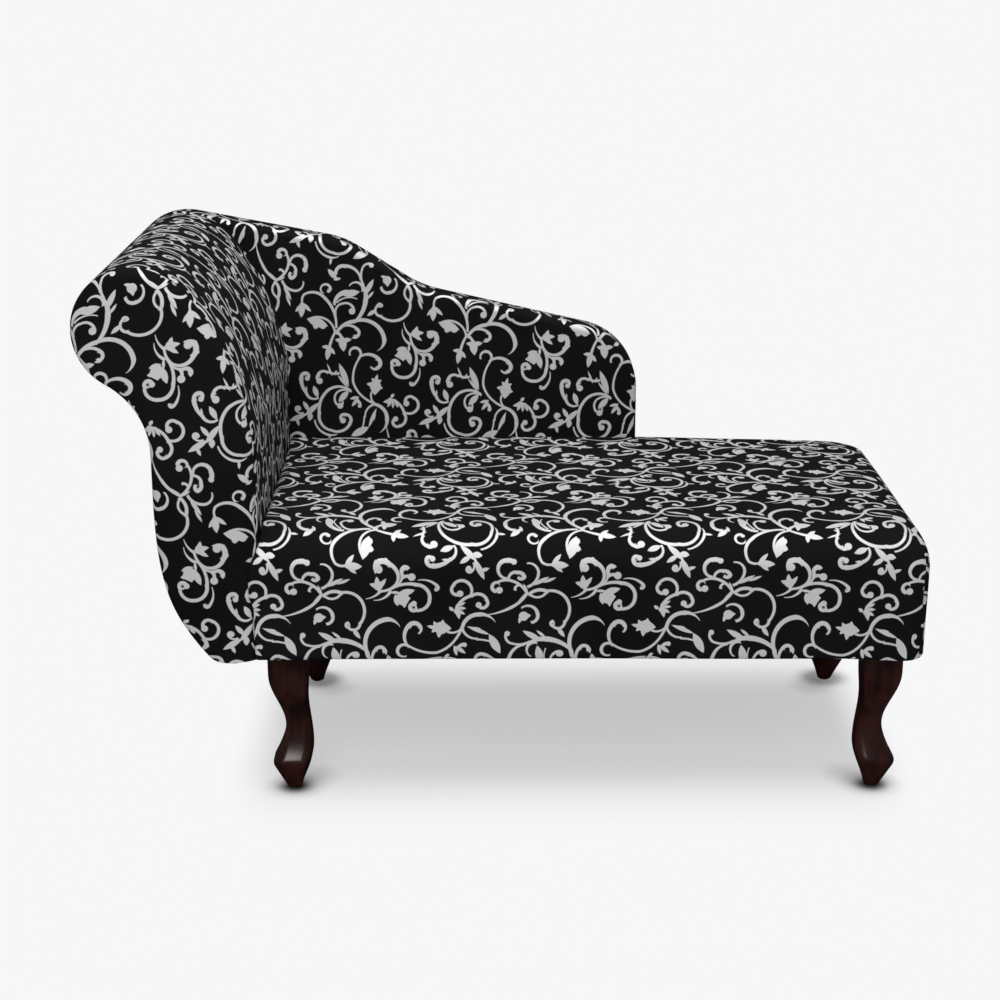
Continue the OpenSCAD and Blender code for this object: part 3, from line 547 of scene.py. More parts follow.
dust_sheet = piece("dust_sheet", [
    (lerp(dust_low[0], dust_high[0], i / dust_columns),
     lerp(dust_low[1], dust_high[1], j / dust_rows), timber_z - dust_t)
    for j in range(dust_rows + 1) for i in range(dust_columns + 1)],
    open_bands(dust_columns + 1, dust_rows + 1), nonwoven.material)
thicken(dust_sheet, dust_t, even=True)
bolt_holes = []
for leg_x, leg_y, sx, sy in leg_places.values():
    rim = bow((leg_x - sx * bolt_in, leg_y - sy * bolt_in), hole_r, 0,
              360 - 360 / hole_points, hole_points - 1)
    bolt_holes.append(closed_shape([at_height(timber_z + s * hole_reach, rim) for s in (-1, 1)]))
cut_out(dust_sheet, *together(bolt_holes))
settle(dust_sheet, "dust_cloth", "dust_cover")

staple_steel = fixing_metal("staple_steel", (0.55, 0.55, 0.56, 1), (0.38, 0.38, 0.39, 1), 0.3, 0.5)
stapling_tree = bpy.data.node_groups.new("staples_along_edge", "GeometryNodeTree")
for way in ("INPUT", "OUTPUT"):
    stapling_tree.interface.new_socket(name="Geometry", in_out=way,
                                       socket_type="NodeSocketGeometry")
staple_values = {"Pitch": staple_pitch * mm, "Crown": staple_crown * mm,
                 "Wire": staple_wire * mm, "Wander": staple_wander}
staple_inputs = {name: stapling_tree.interface.new_socket(
    name=name, in_out="INPUT", socket_type="NodeSocketFloat").identifier for name in staple_values}
given = add_node(stapling_tree, "NodeGroupInput").outputs
path = add_node(stapling_tree, "GeometryNodeMeshToCurve", {"Mesh": given["Geometry"]})
stations = add_node(stapling_tree, "GeometryNodeCurveToPoints", mode="LENGTH", sockets={
    "Curve": path.outputs[0], "Length": given["Pitch"]}).outputs
bar_size = add_node(stapling_tree, "ShaderNodeCombineXYZ", {
    "X": given["Wire"], "Y": given["Wire"], "Z": given["Crown"]})
bar = add_node(stapling_tree, "GeometryNodeMeshCube", {"Size": bar_size.outputs[0]})
turn_by = add_node(stapling_tree, "FunctionNodeRandomValue", data_type="FLOAT", sockets={
    3: given["Wander"], "Seed": 7})
turn_vector = add_node(stapling_tree, "ShaderNodeCombineXYZ", {"X": turn_by.outputs[1]})
turned = add_node(stapling_tree, "FunctionNodeRotateRotation", rotation_space="LOCAL", sockets={
    "Rotation": stations["Rotation"], "Rotate By": turn_vector.outputs[0]})
placed = add_node(stapling_tree, "GeometryNodeInstanceOnPoints", {
    "Points": stations["Points"], "Instance": bar.outputs[0], "Rotation": turned.outputs[0]})
real = add_node(stapling_tree, "GeometryNodeRealizeInstances", {"Geometry": placed.outputs[0]})
coated = add_node(stapling_tree, "GeometryNodeSetMaterial", {
    "Geometry": real.outputs[0], "Material": staple_steel})
add_node(stapling_tree, "NodeGroupOutput", {0: coated.outputs[0]})

staple_z = timber_z - dust_t - staple_wire / 2
staple_x, staple_y = ((dust_low[k] + staple_in, dust_high[k] - staple_in) for k in (0, 1))
staple_line = [(staple_x[0], staple_y[0]), (staple_x[1], staple_y[0]),
               (staple_x[1], staple_y[1]), (staple_x[0], staple_y[1])]
staple_mesh = bpy.data.meshes.new("dust_sheet_staples")
staple_mesh.from_pydata([((x + joint_x) * mm, y * mm, staple_z * mm) for x, y in staple_line],
                        [(0, 1), (1, 2), (2, 3), (3, 0)], [])
staples = add_object("dust_sheet_staples", staple_mesh)
stapling = staples.modifiers.new("stapling", "NODES")
stapling.node_group = stapling_tree
for name, value in staple_values.items():
    stapling[staple_inputs[name]] = value
finished_mesh(staples)
settle(staples, "zinc_steel")

# ---------------------------------------------------------------------------------------------
# Cover cloth: black velvet-like upholstery cloth with a silver-white scrolling vine. The vine is
# a common one, drawn here as stems, leaves and buds in millimetres of one repeat of the cloth.
repeat_w, repeat_h = 188.0, 260.0
# A stem is x, y and width where it starts, then for each arc a point on its way, and x, y and
# width at its end
stems = [
    (133.3, 84, 3.5, 128.5, 110, 116, 127.5, 5, 100, 135, 86, 131, 3.5, 83.2, 125, 83.5, 118, 3),
    (111, 134.5, 2.5, 117.5, 147, 124.8, 141, 4), (124.8, 141, 4.4, 124, 137, 120.5, 135.5, 3),
    (129, 118, 4, 135, 131, 149, 136, 9), (133, 121, 2.4, 142, 127, 162, 127, 1.6),
    (130.8, 104, 3.2, 133.5, 115, 142, 120, 3.2, 154, 118, 158.5, 109.5, 4.2),
    (132.5, 76, 4.5, 141, 87, 158, 94.5, 6), (159, 95, 5.5, 190, 90, 202.5, 68, 6.8),
    (202.5, 68, 6.6, 200, 58.5, 192, 51, 0.6),
    (162, 95, 5, 170.5, 108, 175, 125, 7.5, 174.5, 137, 170, 147, 4.5),
    (170, 147, 3.6, 166.8, 158, 168, 169, 3, 172, 176, 180.5, 178, 3.6),
    (171.5, 139, 5.5, 164, 150.5, 151, 146.3, 2),
    (167.5, 155, 3, 159.5, 169, 144, 174, 5.5, 134.5, 171.5, 130.5, 163, 5),
    (131.5, 77, 3, 126, 90, 113.5, 98.2, 3.5, 103, 99, 93, 95.5, 3),
    (131, 78, 3.5, 126, 67, 122.3, 54, 4.5), (131, 80, 4, 137, 76, 141, 70, 4.5),
    (136, 83, 3, 150, 88.5, 163.5, 83, 4.5), (163.5, 83, 4.8, 166.3, 76, 160, 70, 4.5),
    (151.8, 44.5, 2.6, 154, 53.5, 160.5, 56, 4.5, 167.5, 52, 167, 41, 3.5),
    (167.5, 43, 3, 158, 22, 157, 5, 3.6, 163.5, -8.5, 172, -17.5, 3.4, 180, -23, 189, -27, 3.8),
    (167.5, 43.5, 3.6, 183, 46.5, 194, 40.5, 6), (194, 40.5, 6.4, 197.5, 32, 193.5, 25.8, 5.5),
    (193.5, 25.8, 5, 187.5, 24, 182.5, 27, 2.4), (188.5, -26.5, 2.6, 183.5, -19, 184, -9, 3),
    (189, -27, 3.6, 178.5, -34, 175, -46, 2.6, 174.3, -55, 172, -64, 2.4),
    (187, -26.5, 5, 204.5, -36.5, 208, -49, 6, 206, -60.5, 197.5, -70, 0.8),
    (137, 16.5, 4, 127, 16, 121, 18.5, 3.6, 112.5, 20, 106.5, 14, 5),
    (106.5, 14, 5.2, 105, 9, 108, 4.5, 5),
    (155, -8.5, 3.4, 141, -7, 133.5, -11.5, 3, 130.5, -21, 134, -29.5, 3.6),
    (139, -32, 4, 143, -29, 143.3, -24, 2.4),
    (154, -7, 3.6, 137, -2, 121, -8, 4.6, 110.5, -24, 108.5, -43, 5, 113, -61, 127, -69, 4,
     145, -68, 155, -56, 5, 154, -46, 146.5, -43, 4.6, 140, -45.5, 140, -52, 4),
    (102, -54, 2.4, 109, -68, 122, -75.5, 4, 129, -76, 135.5, -74, 1.2),
    (107.5, -21, 3, 97, -22, 90, -14.5, 4.5, 83.5, -2, 82, 8, 6.5),
    (82, 8, 5.5, 84, 15, 89.5, 17, 5), (89.5, 17, 4.8, 94, 14.5, 93.5, 8.5, 4.4),
    (82, -38, 4, 77, -33.3, 74.3, -39, 3.2), (74.3, -39, 3, 78, -43, 86, -44, 2.6),
    (40.5, 94, 1, 43.5, 84, 52, 74, 4.2), (38.5, 84, 1, 41, 72, 51, 62, 4.6),
    (50.5, 78, 3.5, 52.5, 65, 60, 55, 3.8, 74, 52.5, 86, 62, 6),
    (86, 62, 7, 90, 70, 87.5, 79, 7.5),
    (53, 64, 3, 60.5, 47, 60, 30, 5, 52, 15.5, 40, 12.7, 5, 27, 20, 24.5, 31, 4.4,
     29, 39.5, 35, 35, 5.4),
    (57.5, 57, 3, 63, 49.5, 71, 48, 3), (68, 49, 4, 71.5, 42, 69.5, 36, 5),
    (71, 48, 4, 79, 48.5, 82.5, 43, 6.5),
    (65.8, 28, 1.2, 64.5, 13, 57, 2.5, 4.4, 53.5, 1.8, 51, 6.5, 2.6),
    (18, 201.5, 1.2, 21, 186.5, 28.5, 168.5, 4.4, 36, 158, 46.5, 149.5, 3.8),
    (36, 161.5, 1.5, 41.5, 157, 46.5, 151.5, 3.6),
    (47, 149.5, 4, 58.5, 158.8, 64.8, 172, 4, 65, 180, 62.5, 187.5, 3.6,
     55, 195.4, 48.9, 190, 5.4),
    (66, 178, 3.6, 79.1, 187.3, 89.9, 176, 5.8), (89.9, 176, 6, 90, 170, 87.6, 165.5, 6.4),
    (65.3, 174.5, 3.4, 72.3, 172, 75.2, 162.6, 4.6, 73.5, 155.8, 68.4, 152.8, 5.6,
     65, 156.5, 66.3, 161.8, 3.6),
    (58.5, 158, 3, 57.2, 164, 51.8, 166.3, 3.8), (46, 148, 3.2, 40.8, 138, 46.5, 126, 3.4),
    (46, 148, 4.5, 51.5, 138, 49.5, 124, 5),
    (50, 126, 4, 49, 111, 38.5, 99, 4.4, 24, 95.5, 8, 101.5, 4, -0.5, 109.5, 2.5, 117.5, 3.6,
     6, 121, 10.5, 117.5, 4),
    (55, 148.5, 4, 63, 138.5, 75, 135, 4, 83.5, 139.5, 86.3, 149, 2),
    (28.5, 157, 2.5, 29.5, 143, 20, 136, 5, 12, 137, 7.5, 143.5, 4),
    (31, -21, 4, 40, -29, 45, -40, 4.5, 46.5, -52, 38, -60, 4.4, 29, -58.5, 27.5, -50.5, 4.4),
    (44.5, -39, 3.6, 53, -40.5, 61.5, -36, 4.5, 65, -25, 58, -15.5, 4.2,
     48.5, -14.5, 44.5, -22, 4.6)]
# A leaf is both tips and its width, a bud its middle and radius
leaves = [
    (140, 131.5, 166, 137, 10.5), (172, 131, 185.5, 156, 7.5), (176, 126, 186, 138.5, 4),
    (120, 168.5, 133.5, 153.5, 8), (128, 153, 139, 155.5, 4.5), (83.5, 121, 82.8, 97, 9.5),
    (86, 118, 74, 105, 6), (82, 119.5, 97, 106, 6), (90.5, 96, 121, 85.5, 13.5),
    (104, 88, 102, 80.5, 4), (123.5, 59, 119.5, 35.5, 8.5), (126, 55, 112, 55.5, 6),
    (121.5, 56.5, 131.5, 44.5, 6), (140.5, 73, 143.8, 49, 11.5), (145, 64, 131, 66.5, 7),
    (140, 65, 155, 67.5, 7), (163, 69.5, 154.5, 70, 3), (189, -14, 191, 13, 15),
    (189, 3, 192.8, 17.5, 5), (191, 4, 184, 11.5, 5), (192, 1, 176.8, 2.5, 7),
    (187, 2, 199, 9, 6), (187, -2, 201, -3, 7), (181.5, -61.5, 155.5, -76, 11),
    (192, -33, 180.5, -63, 5.5), (190, -36, 188.5, -52, 3.4), (167, -17, 153, -20.5, 5),
    (166, -18, 156, -32, 5.5), (163, -19, 170.5, -32, 5), (137, 32, 151.5, -2.5, 9),
    (135, 15, 151, -5, 4.2), (128, 12, 119.6, 31.5, 3.2), (130, 14, 134, 22, 3),
    (151.5, -8, 136.8, -25.5, 9), (125, -74, 123.3, -86, 4), (90.5, -3, 89, -17, 4),
    (100.5, -2, 107, -20, 8), (109, -27, 88, -48, 8), (85.5, -25.5, 95, -41, 6.5),
    (92, -44, 65, -56, 8), (97, -42, 95, -55, 8), (76, -50, 80, -63, 5),
    (56, 75, 61, 89.5, 6.5), (55, 79, 70.5, 80, 6.5), (53, 79, 68, 68, 6),
    (88, 66, 93, 67.5, 5), (91, 80, 73.5, 81.5, 6), (47, 57, 31, 54, 7),
    (42, 46, 28.5, 45.5, 7), (40, 52, 41.5, 37.5, 10), (46, 55, 52.3, 32, 9),
    (49.5, 64, 49, 50, 4), (82, 47, 80.5, 37, 6), (2, 112, -11.5, 102, 6),
    (45, 149, 60, 155, 4), (57, 144, 68.5, 122, 5.5), (60.5, 131, 67.5, 113, 4.2),
    (18, 157, 7, 160.5, 5), (16, 158, 17.5, 145, 7), (33, -20, 13, -24, 7),
    (24, -17, 29.5, -11, 5), (26, -19, 19.5, -31.5, 5), (28, -20, 27.5, -33, 4.5),
    (30, -20, 35.5, -32, 4.5)]
buds = [
    (51.2, 185.3, 4.3), (87.5, 165.8, 3.4), (155, 108.3, 4.6), (181.8, 175.3, 3.4),
    (121.5, 136.5, 2.4), (103.5, 85.5, 4), (113.5, 86.5, 5), (160.5, 71.5, 3), (190, -1, 8),
    (167.5, -30.5, 2.8), (109.3, 5, 4.6), (139.3, -31, 4.4), (143.5, -53, 4.2), (91.5, 8, 3.4),
    (78, -36, 3.4), (58.5, 78.5, 6), (79.5, 77, 5), (34.3, 33.5, 3.6), (41, 48, 8.5),
    (69.3, 35.8, 4.8), (16.5, 154.5, 6), (24, -21, 4), (31.8, -48.5, 3.8), (47, -25, 4.2)]


def arcs_of(stem):
    """A stem's arcs: centre and radius of the circle, start, sweep, sense and both widths."""
    arcs = []
    for k in range(0, len(stem) - 3, 5):
        ax, ay, w0, bx, by, cx, cy, w1 = stem[k:k + 8]
        d = 2 * (ax * (by - cy) + bx * (cy - ay) + cx * (ay - by))
        a2, b2, c2 = ax * ax + ay * ay, bx * bx + by * by, cx * cx + cy * cy
        ox = (a2 * (by - cy) + b2 * (cy - ay) + c2 * (ay - by)) / d
        oy = (a2 * (cx - bx) + b2 * (ax - cx) + c2 * (bx - ax)) / d
        way, start = math.copysign(1, d), math.atan2(ay - oy, ax - ox)
        sweep = (way * (math.atan2(cy - oy, cx - ox) - start)) % (2 * math.pi)
        arcs.append(("stem", ox, oy, math.hypot(ax - ox, ay - oy), start, sweep, way, w0, w1))
    return arcs


def stroke_box(kind, *numbers):
    """Lowest and highest x and y that a stroke reaches."""
    if kind == "stem":
        ox, oy, r, start, sweep, way, w0, w1 = numbers
        turns = [start + way * sweep * k / 12 for k in range(13)]
        xs, ys = [ox + r * math.cos(t) for t in turns], [oy + r * math.sin(t) for t in turns]
        pad = max(w0, w1) / 2
    elif kind == "leaf":
        ax, ay, bx, by, width = numbers
        xs, ys, pad = (ax, bx), (ay, by), width / 2
    else:
        x, y, pad = numbers
        xs, ys = (x,), (y,)
    return min(xs) - pad, max(xs) + pad, min(ys) - pad, max(ys) + pad


def into_repeat(low, high, period):
    """Which cut keeps a stroke whole, and how far the stroke is moved for it."""
    value = (low + high) / 2
    for cut, begin in enumerate((0.0, -period / 2)):
        shift = -period * math.floor((value - begin) / period)
        if begin <= low + shift - stroke_margin and high + shift + stroke_margin <= begin + period:
            break
    return cut, shift


stroke_margin, bundles = 1.0, {}
for stroke in ([arc for stem in stems for arc in arcs_of(stem)]
               + [("leaf", *leaf) for leaf in leaves] + [("bud", *bud) for bud in buds]):
    x_low, x_high, y_low, y_high = stroke_box(*stroke)
    cut_x, shift_x = into_repeat(x_low, x_high, repeat_w)
    cut_y, shift_y = into_repeat(y_low, y_high, repeat_h)
    bundles.setdefault((stroke[0], cut_x, cut_y), []).append((stroke[1:], shift_x, shift_y))

cloth = Finish("vine_velvet")
on_cloth = cloth.node("ShaderNodeUVMap", uv_map="cloth") * (1 / mm)
across = cloth.node("ShaderNodeSeparateXYZ", {"Vector": on_cloth})


def in_repeat(value, period):
    """A place in one repeat, cut at its border and at its middle, three times in a vector."""
    wraps = [value.math("WRAP", end, end - period) for end in (period, period / 2)]
    return [cloth.node("ShaderNodeCombineXYZ", {"X": w, "Y": w, "Z": w}) for w in wraps]


place_x, place_y = in_repeat(across, repeat_w), in_repeat(across.output("Y"), repeat_h)


def plane(px, py, terms, base=None):
    """Three numbers a*x + b*y + c at once, from three rows (a, b, c), added to a base."""
    a, b, c = (tuple(float(row[k]) for row in terms) for k in range(3))
    start = py.math("MULTIPLY_ADD", b, c)
    return px.math("MULTIPLY_ADD", a, start if base is None else start + base)


def circle_gap(px, py, squares, circles):
    """Three signed distances to circles (x, y, r), exact on the circle itself."""
    rows = [(-x / r, -y / r, (x * x + y * y - r * r) / (2 * r)) for x, y, r in circles]
    scales = tuple(1 / (2 * r) for _, _, r in circles)
    return squares.math("MULTIPLY_ADD", scales, plane(px, py, rows))


stem_inward, stem_share, leaf_less, stroke_soft = 0.6, 0.88, 0.5, 0.45
vine_gap = None
for (kind, cut_x, cut_y), members in sorted(bundles.items()):
    px, py = place_x[cut_x], place_y[cut_y]
    squares = px.math("MULTIPLY_ADD", px, py * py)
    for k in range(0, len(members), 3):
        three = (members[k:k + 3] * 3)[:3]
        if kind == "bud":
            gap = circle_gap(px, py, squares, [(x + dx, y + dy, r) for (x, y, r), dx, dy in three])
        elif kind == "leaf":
            lengthwise, sideways, widths = [], [], []
            for (ax, ay, bx, by, width), dx, dy in three:
                mx, my, long = (ax + bx) / 2 + dx, (ay + by) / 2 + dy, math.hypot(bx - ax, by - ay)
                ux, uy = (bx - ax) / long, (by - ay) / long
                bend = math.sqrt(width / 2) / (long / 2)
                lengthwise.append((ux * bend, uy * bend, -(ux * mx + uy * my) * bend))
                sideways.append((-uy, ux, uy * mx - ux * my))
                widths.append((width - leaf_less) / 2)
            s, aside = plane(px, py, lengthwise), plane(px, py, sideways).math("ABSOLUTE")
            gap = s.math("MULTIPLY_ADD", s, aside) - tuple(widths)
        else:
            circles, tapers, ends = [], [], []
            for (ox, oy, r, start, sweep, way, w0, w1), dx, dy in three:
                ox, oy, middle, half = ox + dx, oy + dy, start + way * sweep / 2, sweep / 2
                ux, uy = math.cos(middle), math.sin(middle)
                vx, vy = -uy * way, ux * way
                rise = (w1 - w0) / 4 / (r * math.sin(min(half, math.pi / 2)))
                circles.append((ox, oy, r - stem_inward))
                tapers.append((-rise * vx, -rise * vy,
                               rise * (vx * ox + vy * oy) - stem_share * (w0 + w1) / 4))
                ends.append((ox + r * ux, oy + r * uy,
                             2 * r * math.sin(half / 2) + min(w0, w1) / 4))
            edge = circle_gap(px, py, squares, circles).math("ABSOLUTE")
            gap = plane(px, py, tapers, edge).math("MAXIMUM", circle_gap(px, py, squares, ends))
        vine_gap = gap if vine_gap is None else vine_gap.math("MINIMUM", gap)
thirds = cloth.node("ShaderNodeSeparateXYZ", {"Vector": vine_gap})
nearest = thirds.math("MINIMUM", thirds.output("Y")).math("MINIMUM", thirds.output("Z"))
on_vine = cloth.ease(nearest, stroke_soft, -stroke_soft)
pile = cloth.noise(on_cloth, 0.9, 3.0, 0.6)
shading = cloth.noise(cloth.spot(), 7.0, 2.0)
yarn = cloth.waves(on_cloth, 0.33, 1.5, bands_direction="DIAGONAL")
ground = cloth.blend(cloth.spread(pile * 0.6 + shading * 0.4, 0.3, 0.7),
                     (0.0012, 0.0012, 0.0018, 1), (0.0074, 0.0074, 0.0088, 1))
silver = cloth.blend(cloth.spread(pile * 0.5 + yarn * 0.3 + shading * 0.2, 0.2, 0.8),
                     (0.42, 0.42, 0.42, 1), (0.85, 0.85, 0.85, 1))
cloth.paint({
    "Base Color": cloth.blend(on_vine, ground, silver),
    "Roughness": cloth.spread(on_vine, 0, 1, 0.88, 0.44), "Metallic": on_vine * 0.30,
    "Specular IOR Level": 0.12,
    "Normal": cloth.bump(pile * 0.7 + yarn * 0.3, 0.30, 0.0004)})

# ---------------------------------------------------------------------------------------------
# Seat: one cloth pulled over foam and border wadding, rounded at the top edge, with a pleat at
# each right corner, turned under the rails for a hem. The back stands in its step at the rear.
seat_height, seat_crown, seat_edge_r, seat_base_r = 167.0, 5.0, 52.0, 10.0
seat_corner_r, rear_corner_r, inner_corner_r, inner_from = 26.0, 9.0, 2.0, 200.0
rear_top_r, rear_top_z, rear_top_in, pleat, pleat_z = 50.0, (300, 350), 172.0, 3.0, (337, 277)
overlap_low, overlap_top, overlap_z, nose_r, groove_in = 7.5, 13.5, (268, 286), 2.0, 4.0
head_soft_r, butt_gap, left_lean, cover_t = 23.0, 0.05, 0.06, 2.0
end_bulge, bulge_top, end_sharper, end_hem = (2.0, 3.5), 315.0, 0.38, 1.1
hem_sag, left_sag, left_x, middle_sag, middle_x = 1.2, 1.3, (0, 100), 2.4, (380, 640)
end_sag, end_x, sag_up, sag_in, top_in = 5.0, (720, 820), 60.0, 14.0, 14.0
rear_rise, rise_x, rise_y, corner_drop, drop_x = 6.0, (420, 750), (60, 200), 2.5, (690, 800)
front_slack, slack_x, front_scale, front_at = 6.0, (640, 750), (-0.005, -1.011), (333.0, 172.0)
top_scale, top_from, top_turn, top_at = (1.02, -0.996), 240, (-0.0115, -0.0229), (484.2, 168.7)
along_points, end_points, turn_points, groove_points, nose_points = 90, 46, 16, 8, 3
hem_rows, base_rows, wall_rows, edge_rows, top_rows = 4, 6, 14, 15, 24
seat_top, deck, back_len = leg_height + seat_height, 301.1, 503.0


def arc_inset(r, depth):
    """How far an edge rounded with radius r lies inside its outline at a depth behind the face."""
    return r - math.sqrt(max(0.0, r * r - (r - depth) ** 2)) if depth < r else 0.0


def running_length(line):
    """Length along a line up to each of its points."""
    total = [0.0]
    for a, b in zip(line, line[1:]):
        total.append(total[-1] + math.hypot(b[0] - a[0], b[1] - a[1]))
    return total


def seat_end(z, inset):
    """Length of a ring at the right end, which bulges and has a sharper top edge than the front."""
    on_edge = min(inset, seat_edge_r) if z > seat_top - seat_edge_r else 0.0
    hem = end_hem * max(0.0, inset - seat_base_r) if z < leg_height + 1 else 0.0
    bulge = lerp(*end_bulge, ramp(z, leg_height, bulge_top))
    return seat_len + bulge - inset - hem + end_sharper * on_edge


def seat_profile():
    """Side wall from the hem up and over the edge, as insets and heights."""
    low, high = leg_height + seat_base_r, seat_top - seat_edge_r
    rows = [(lerp(hem_w - 1, seat_base_r, k / hem_rows), leg_height) for k in range(hem_rows)]
    rows += [(seat_base_r - x, low - z)
             for x, z in bow((0, 0), seat_base_r, 90, 0, base_rows)]
    rows += [(0.0, lerp(low, high, k / wall_rows)) for k in range(1, wall_rows)]
    rows += [(seat_edge_r - x, high + z)
             for x, z in bow((0, 0), seat_edge_r, 0, 90, edge_rows)]
    return rows


def pleated(centre, r, start, fold, sides):
    """Quarter turn with a pleat in its middle, each point with its side."""
    turn = bow(centre, r, start, start + 90, turn_points)
    turn[turn_points // 2] = polar(centre, r - fold, start + 45)
    return [(x, y, sides[k >= turn_points // 2]) for k, (x, y) in enumerate(turn[:-1])]


def seat_around(z, inset, left):
    """Ring of places, each with its side. Its front left corner laps over the headrest's edge."""
    x0, x1, y1 = butt_gap + left, seat_end(z, inset), half_depth - inset
    r = min(seat_corner_r, y1 - inner_corner_r) if inset < inner_from else inner_corner_r
    rear_r = lerp(r, rear_top_r,
                  ramp(z, *rear_top_z) * (1 - ramp(inset, seat_edge_r, rear_top_in)))
    p = rear_corner_r if z < seat_top - 2 else inner_corner_r
    fold = pleat * ramp(z, *pleat_z) if inset < seat_base_r else 0.0
    overlap = lerp(overlap_low, overlap_top, ramp(z, *overlap_z))
    nose = min(overlap, arc_inset(head_soft_r, inset + nose_r))
    nose_at, groove_y = x0 - nose + nose_r, max(head_soft_r - half_depth, -y1 + nose_r + groove_in)
    ring = [(lerp(nose_at, x1 - r, k / along_points), -y1, "front") for k in range(along_points)]
    ring += pleated((x1 - r, -y1 + r), r, -90, fold, ("front", "end"))
    ring += [(x1, lerp(-y1 + r, y1 - rear_r, k / end_points), "end") for k in range(end_points)]
    ring += pleated((x1 - rear_r, y1 - rear_r), rear_r, 0, fold, ("end", "rear"))
    ring += [(lerp(x1 - rear_r, x0 + p, k / along_points), y1, "rear")
             for k in range(along_points)]
    ring += [(x, y, "rear") for x, y in bow((x0 + p, y1 - p), p, 90, 180, nose_points)[:-1]]
    ring += [(x0, lerp(y1 - p, groove_y, k / end_points), "left") for k in range(end_points)]
    for k in range(groove_points):
        y = lerp(groove_y, -y1 + nose_r, k / groove_points)
        ring.append((x0 - min(nose, arc_inset(head_soft_r, y + half_depth)), y, "left"))
    return ring + [(x, y, "front") for x, y in
                   bow((nose_at, -y1 + nose_r), nose_r, 180, 270, nose_points)[:-1]]


def x_world(x):
    return x + joint_x


def on_seat_front(x, climb):
    """Cloth's place on the front, after the photograph: its length runs from right to left."""
    slack = front_slack * ramp(x, *slack_x)
    return (climb + slack + front_at[0] + seat_base_r + front_scale[0] * x_world(x),
            front_scale[1] * x_world(x) + front_at[1])


def on_seat_top(x, y):
    up, left = top_scale[0] * (y + top_from), top_scale[1] * x_world(x)
    return up + top_turn[0] * left + top_at[0], left + top_turn[1] * up + top_at[1]


seat_rows = seat_profile()
wall_len = running_length(seat_rows)
hem_len, edge_start = wall_len[hem_rows + base_rows], len(seat_rows) - edge_rows - 1
end_reach = [(seat_end(z, inset), z) for inset, z in seat_rows]
end_drop = running_length(end_reach[::-1])[::-1]
for k in range(1, top_rows + 1):
    t = k / top_rows
    seat_rows.append((lerp(seat_edge_r, half_depth - top_in, t),
                      seat_top + seat_crown * t * (2 - t)))
seat_rings, seat_places = [], []
for inset, z in seat_rows:
    ring = seat_around(z, inset, 0.0 if z < seat_top - seat_edge_r else left_lean * inset)
    low = max(0.0, 1 - abs(z - leg_height) / sag_up) * max(0.0, 1 - inset / sag_in)
    high = min(1.0, max(0.0, 1 - (seat_top - z) / seat_edge_r))
    seat_rings.append([])
    for x, y, side in ring:
        sag = (hem_sag + left_sag * (1 - ramp(x, *left_x)) + middle_sag * ramp(x, *middle_x)
               + end_sag * ramp(x, *end_x))
        rise = rear_rise * (1 - ramp(x, *rise_x)) - corner_drop * ramp(x, *drop_x)
        seat_rings[-1].append((x, y, z - sag * low + rise * high * ramp(y, *rise_y)))
    seat_places += ring
per_ring = len(seat_rings[0])


def seat_uv(index, side):
    (x, y, _), row_at = seat_places[index], index // per_ring
    if row_at >= len(wall_len):
        return on_seat_top(x, y)
    if side == "front":
        past, edge = (wall_len[k] - wall_len[edge_start] for k in (row_at, -1))
        front = on_seat_front(x, wall_len[min(row_at, edge_start)] - hem_len)
        top = on_seat_top(x, seat_edge_r - half_depth)
        return tuple(lerp(front[k], top[k], max(0.0, past / edge)) for k in (0, 1))
    drop = wall_len[-1] - wall_len[row_at]
    if side == "end":
        return on_seat_top(end_reach[-1][0] + end_drop[row_at], y)
    if side == "rear":
        return on_seat_top(x, half_depth - seat_edge_r + drop)
    return on_seat_top(x - drop, y)


seat_points, seat_faces = closed_shape(seat_rings)
seat_corners = [[seat_uv(i, seat_places[face[0]][2]) for i in face] for face in seat_faces[:-2]]
seat_corners += [[(0, 0)] * per_ring, [seat_uv(i, "top") for i in seat_faces[-1]]]
seat_cloth = piece("seat_upholstery", seat_points, seat_faces, cloth.material, seat_corners)
back_step = [(-10, back_front - fit), (back_len + fit, back_front - fit), (back_len + fit, 300),
             (-10, 300)]
cut_out(seat_cloth, *closed_shape([at_height(z, back_step) for z in (deck, 800)]))


def reshape(made, change):
    """Runs a change of faces on a piece's mesh."""
    shape = bmesh.new()
    shape.from_mesh(made.data)
    change(shape)
    shape.to_mesh(made.data)
    shape.free()


def without_floor(shape):
    """Takes away the flat cap that only closed the seat for the cut."""
    caps = [f for f in shape.faces if f.normal.z < -0.99 and
            all(abs(v.co.z - leg_height * mm) < 1e-6 for v in f.verts) and f.calc_area() > 0.05]
    bmesh.ops.delete(shape, geom=caps, context="FACES_ONLY")


reshape(seat_cloth, without_floor)
thicken(seat_cloth, cover_t)
settle(seat_cloth, "cover_fabric", "seat_cover", "seat_foam", "seat_border_padding", fill=0.92)

# ---------------------------------------------------------------------------------------------
# Headrest: a scroll of sawn boards and hardboard under thin foam, covered by a cloth inside and
# over the roll, one outside, and a front piece sewn in along the scroll's edge.
roll_c, roll_r, throat_r = (-136.0, 623.0), 77.0, 102.0
side_x, belly_z, inner_z = -124.0, 420.3, 470.0
throat_c, throat_a = (-226.0, 468.3), 59.85
heel_w, heel_angle, heel_r, inner_leave, inner_pull = 58.0, 49.0, 16.0, 45.0, (80.0, 60.0)
heel_steer, belly_steer, side_swell, heel_swell = 0.32, 0.55, 4.0, 2.5
swell_from, swell_lean, swell_over, heel_x, heel_z = -20.0, 0.125, 60.0, (-8, -38), (200, 240)
edge_opens, edge_closes = (-80, -74), (50, 110)
head_rear_y, facing_r, edge_reach, turn_in = 199.7, 10.0, 24.0, 14.0
near_step, near_rows, far_rows, turned_rows = 2, 8, 39, 3
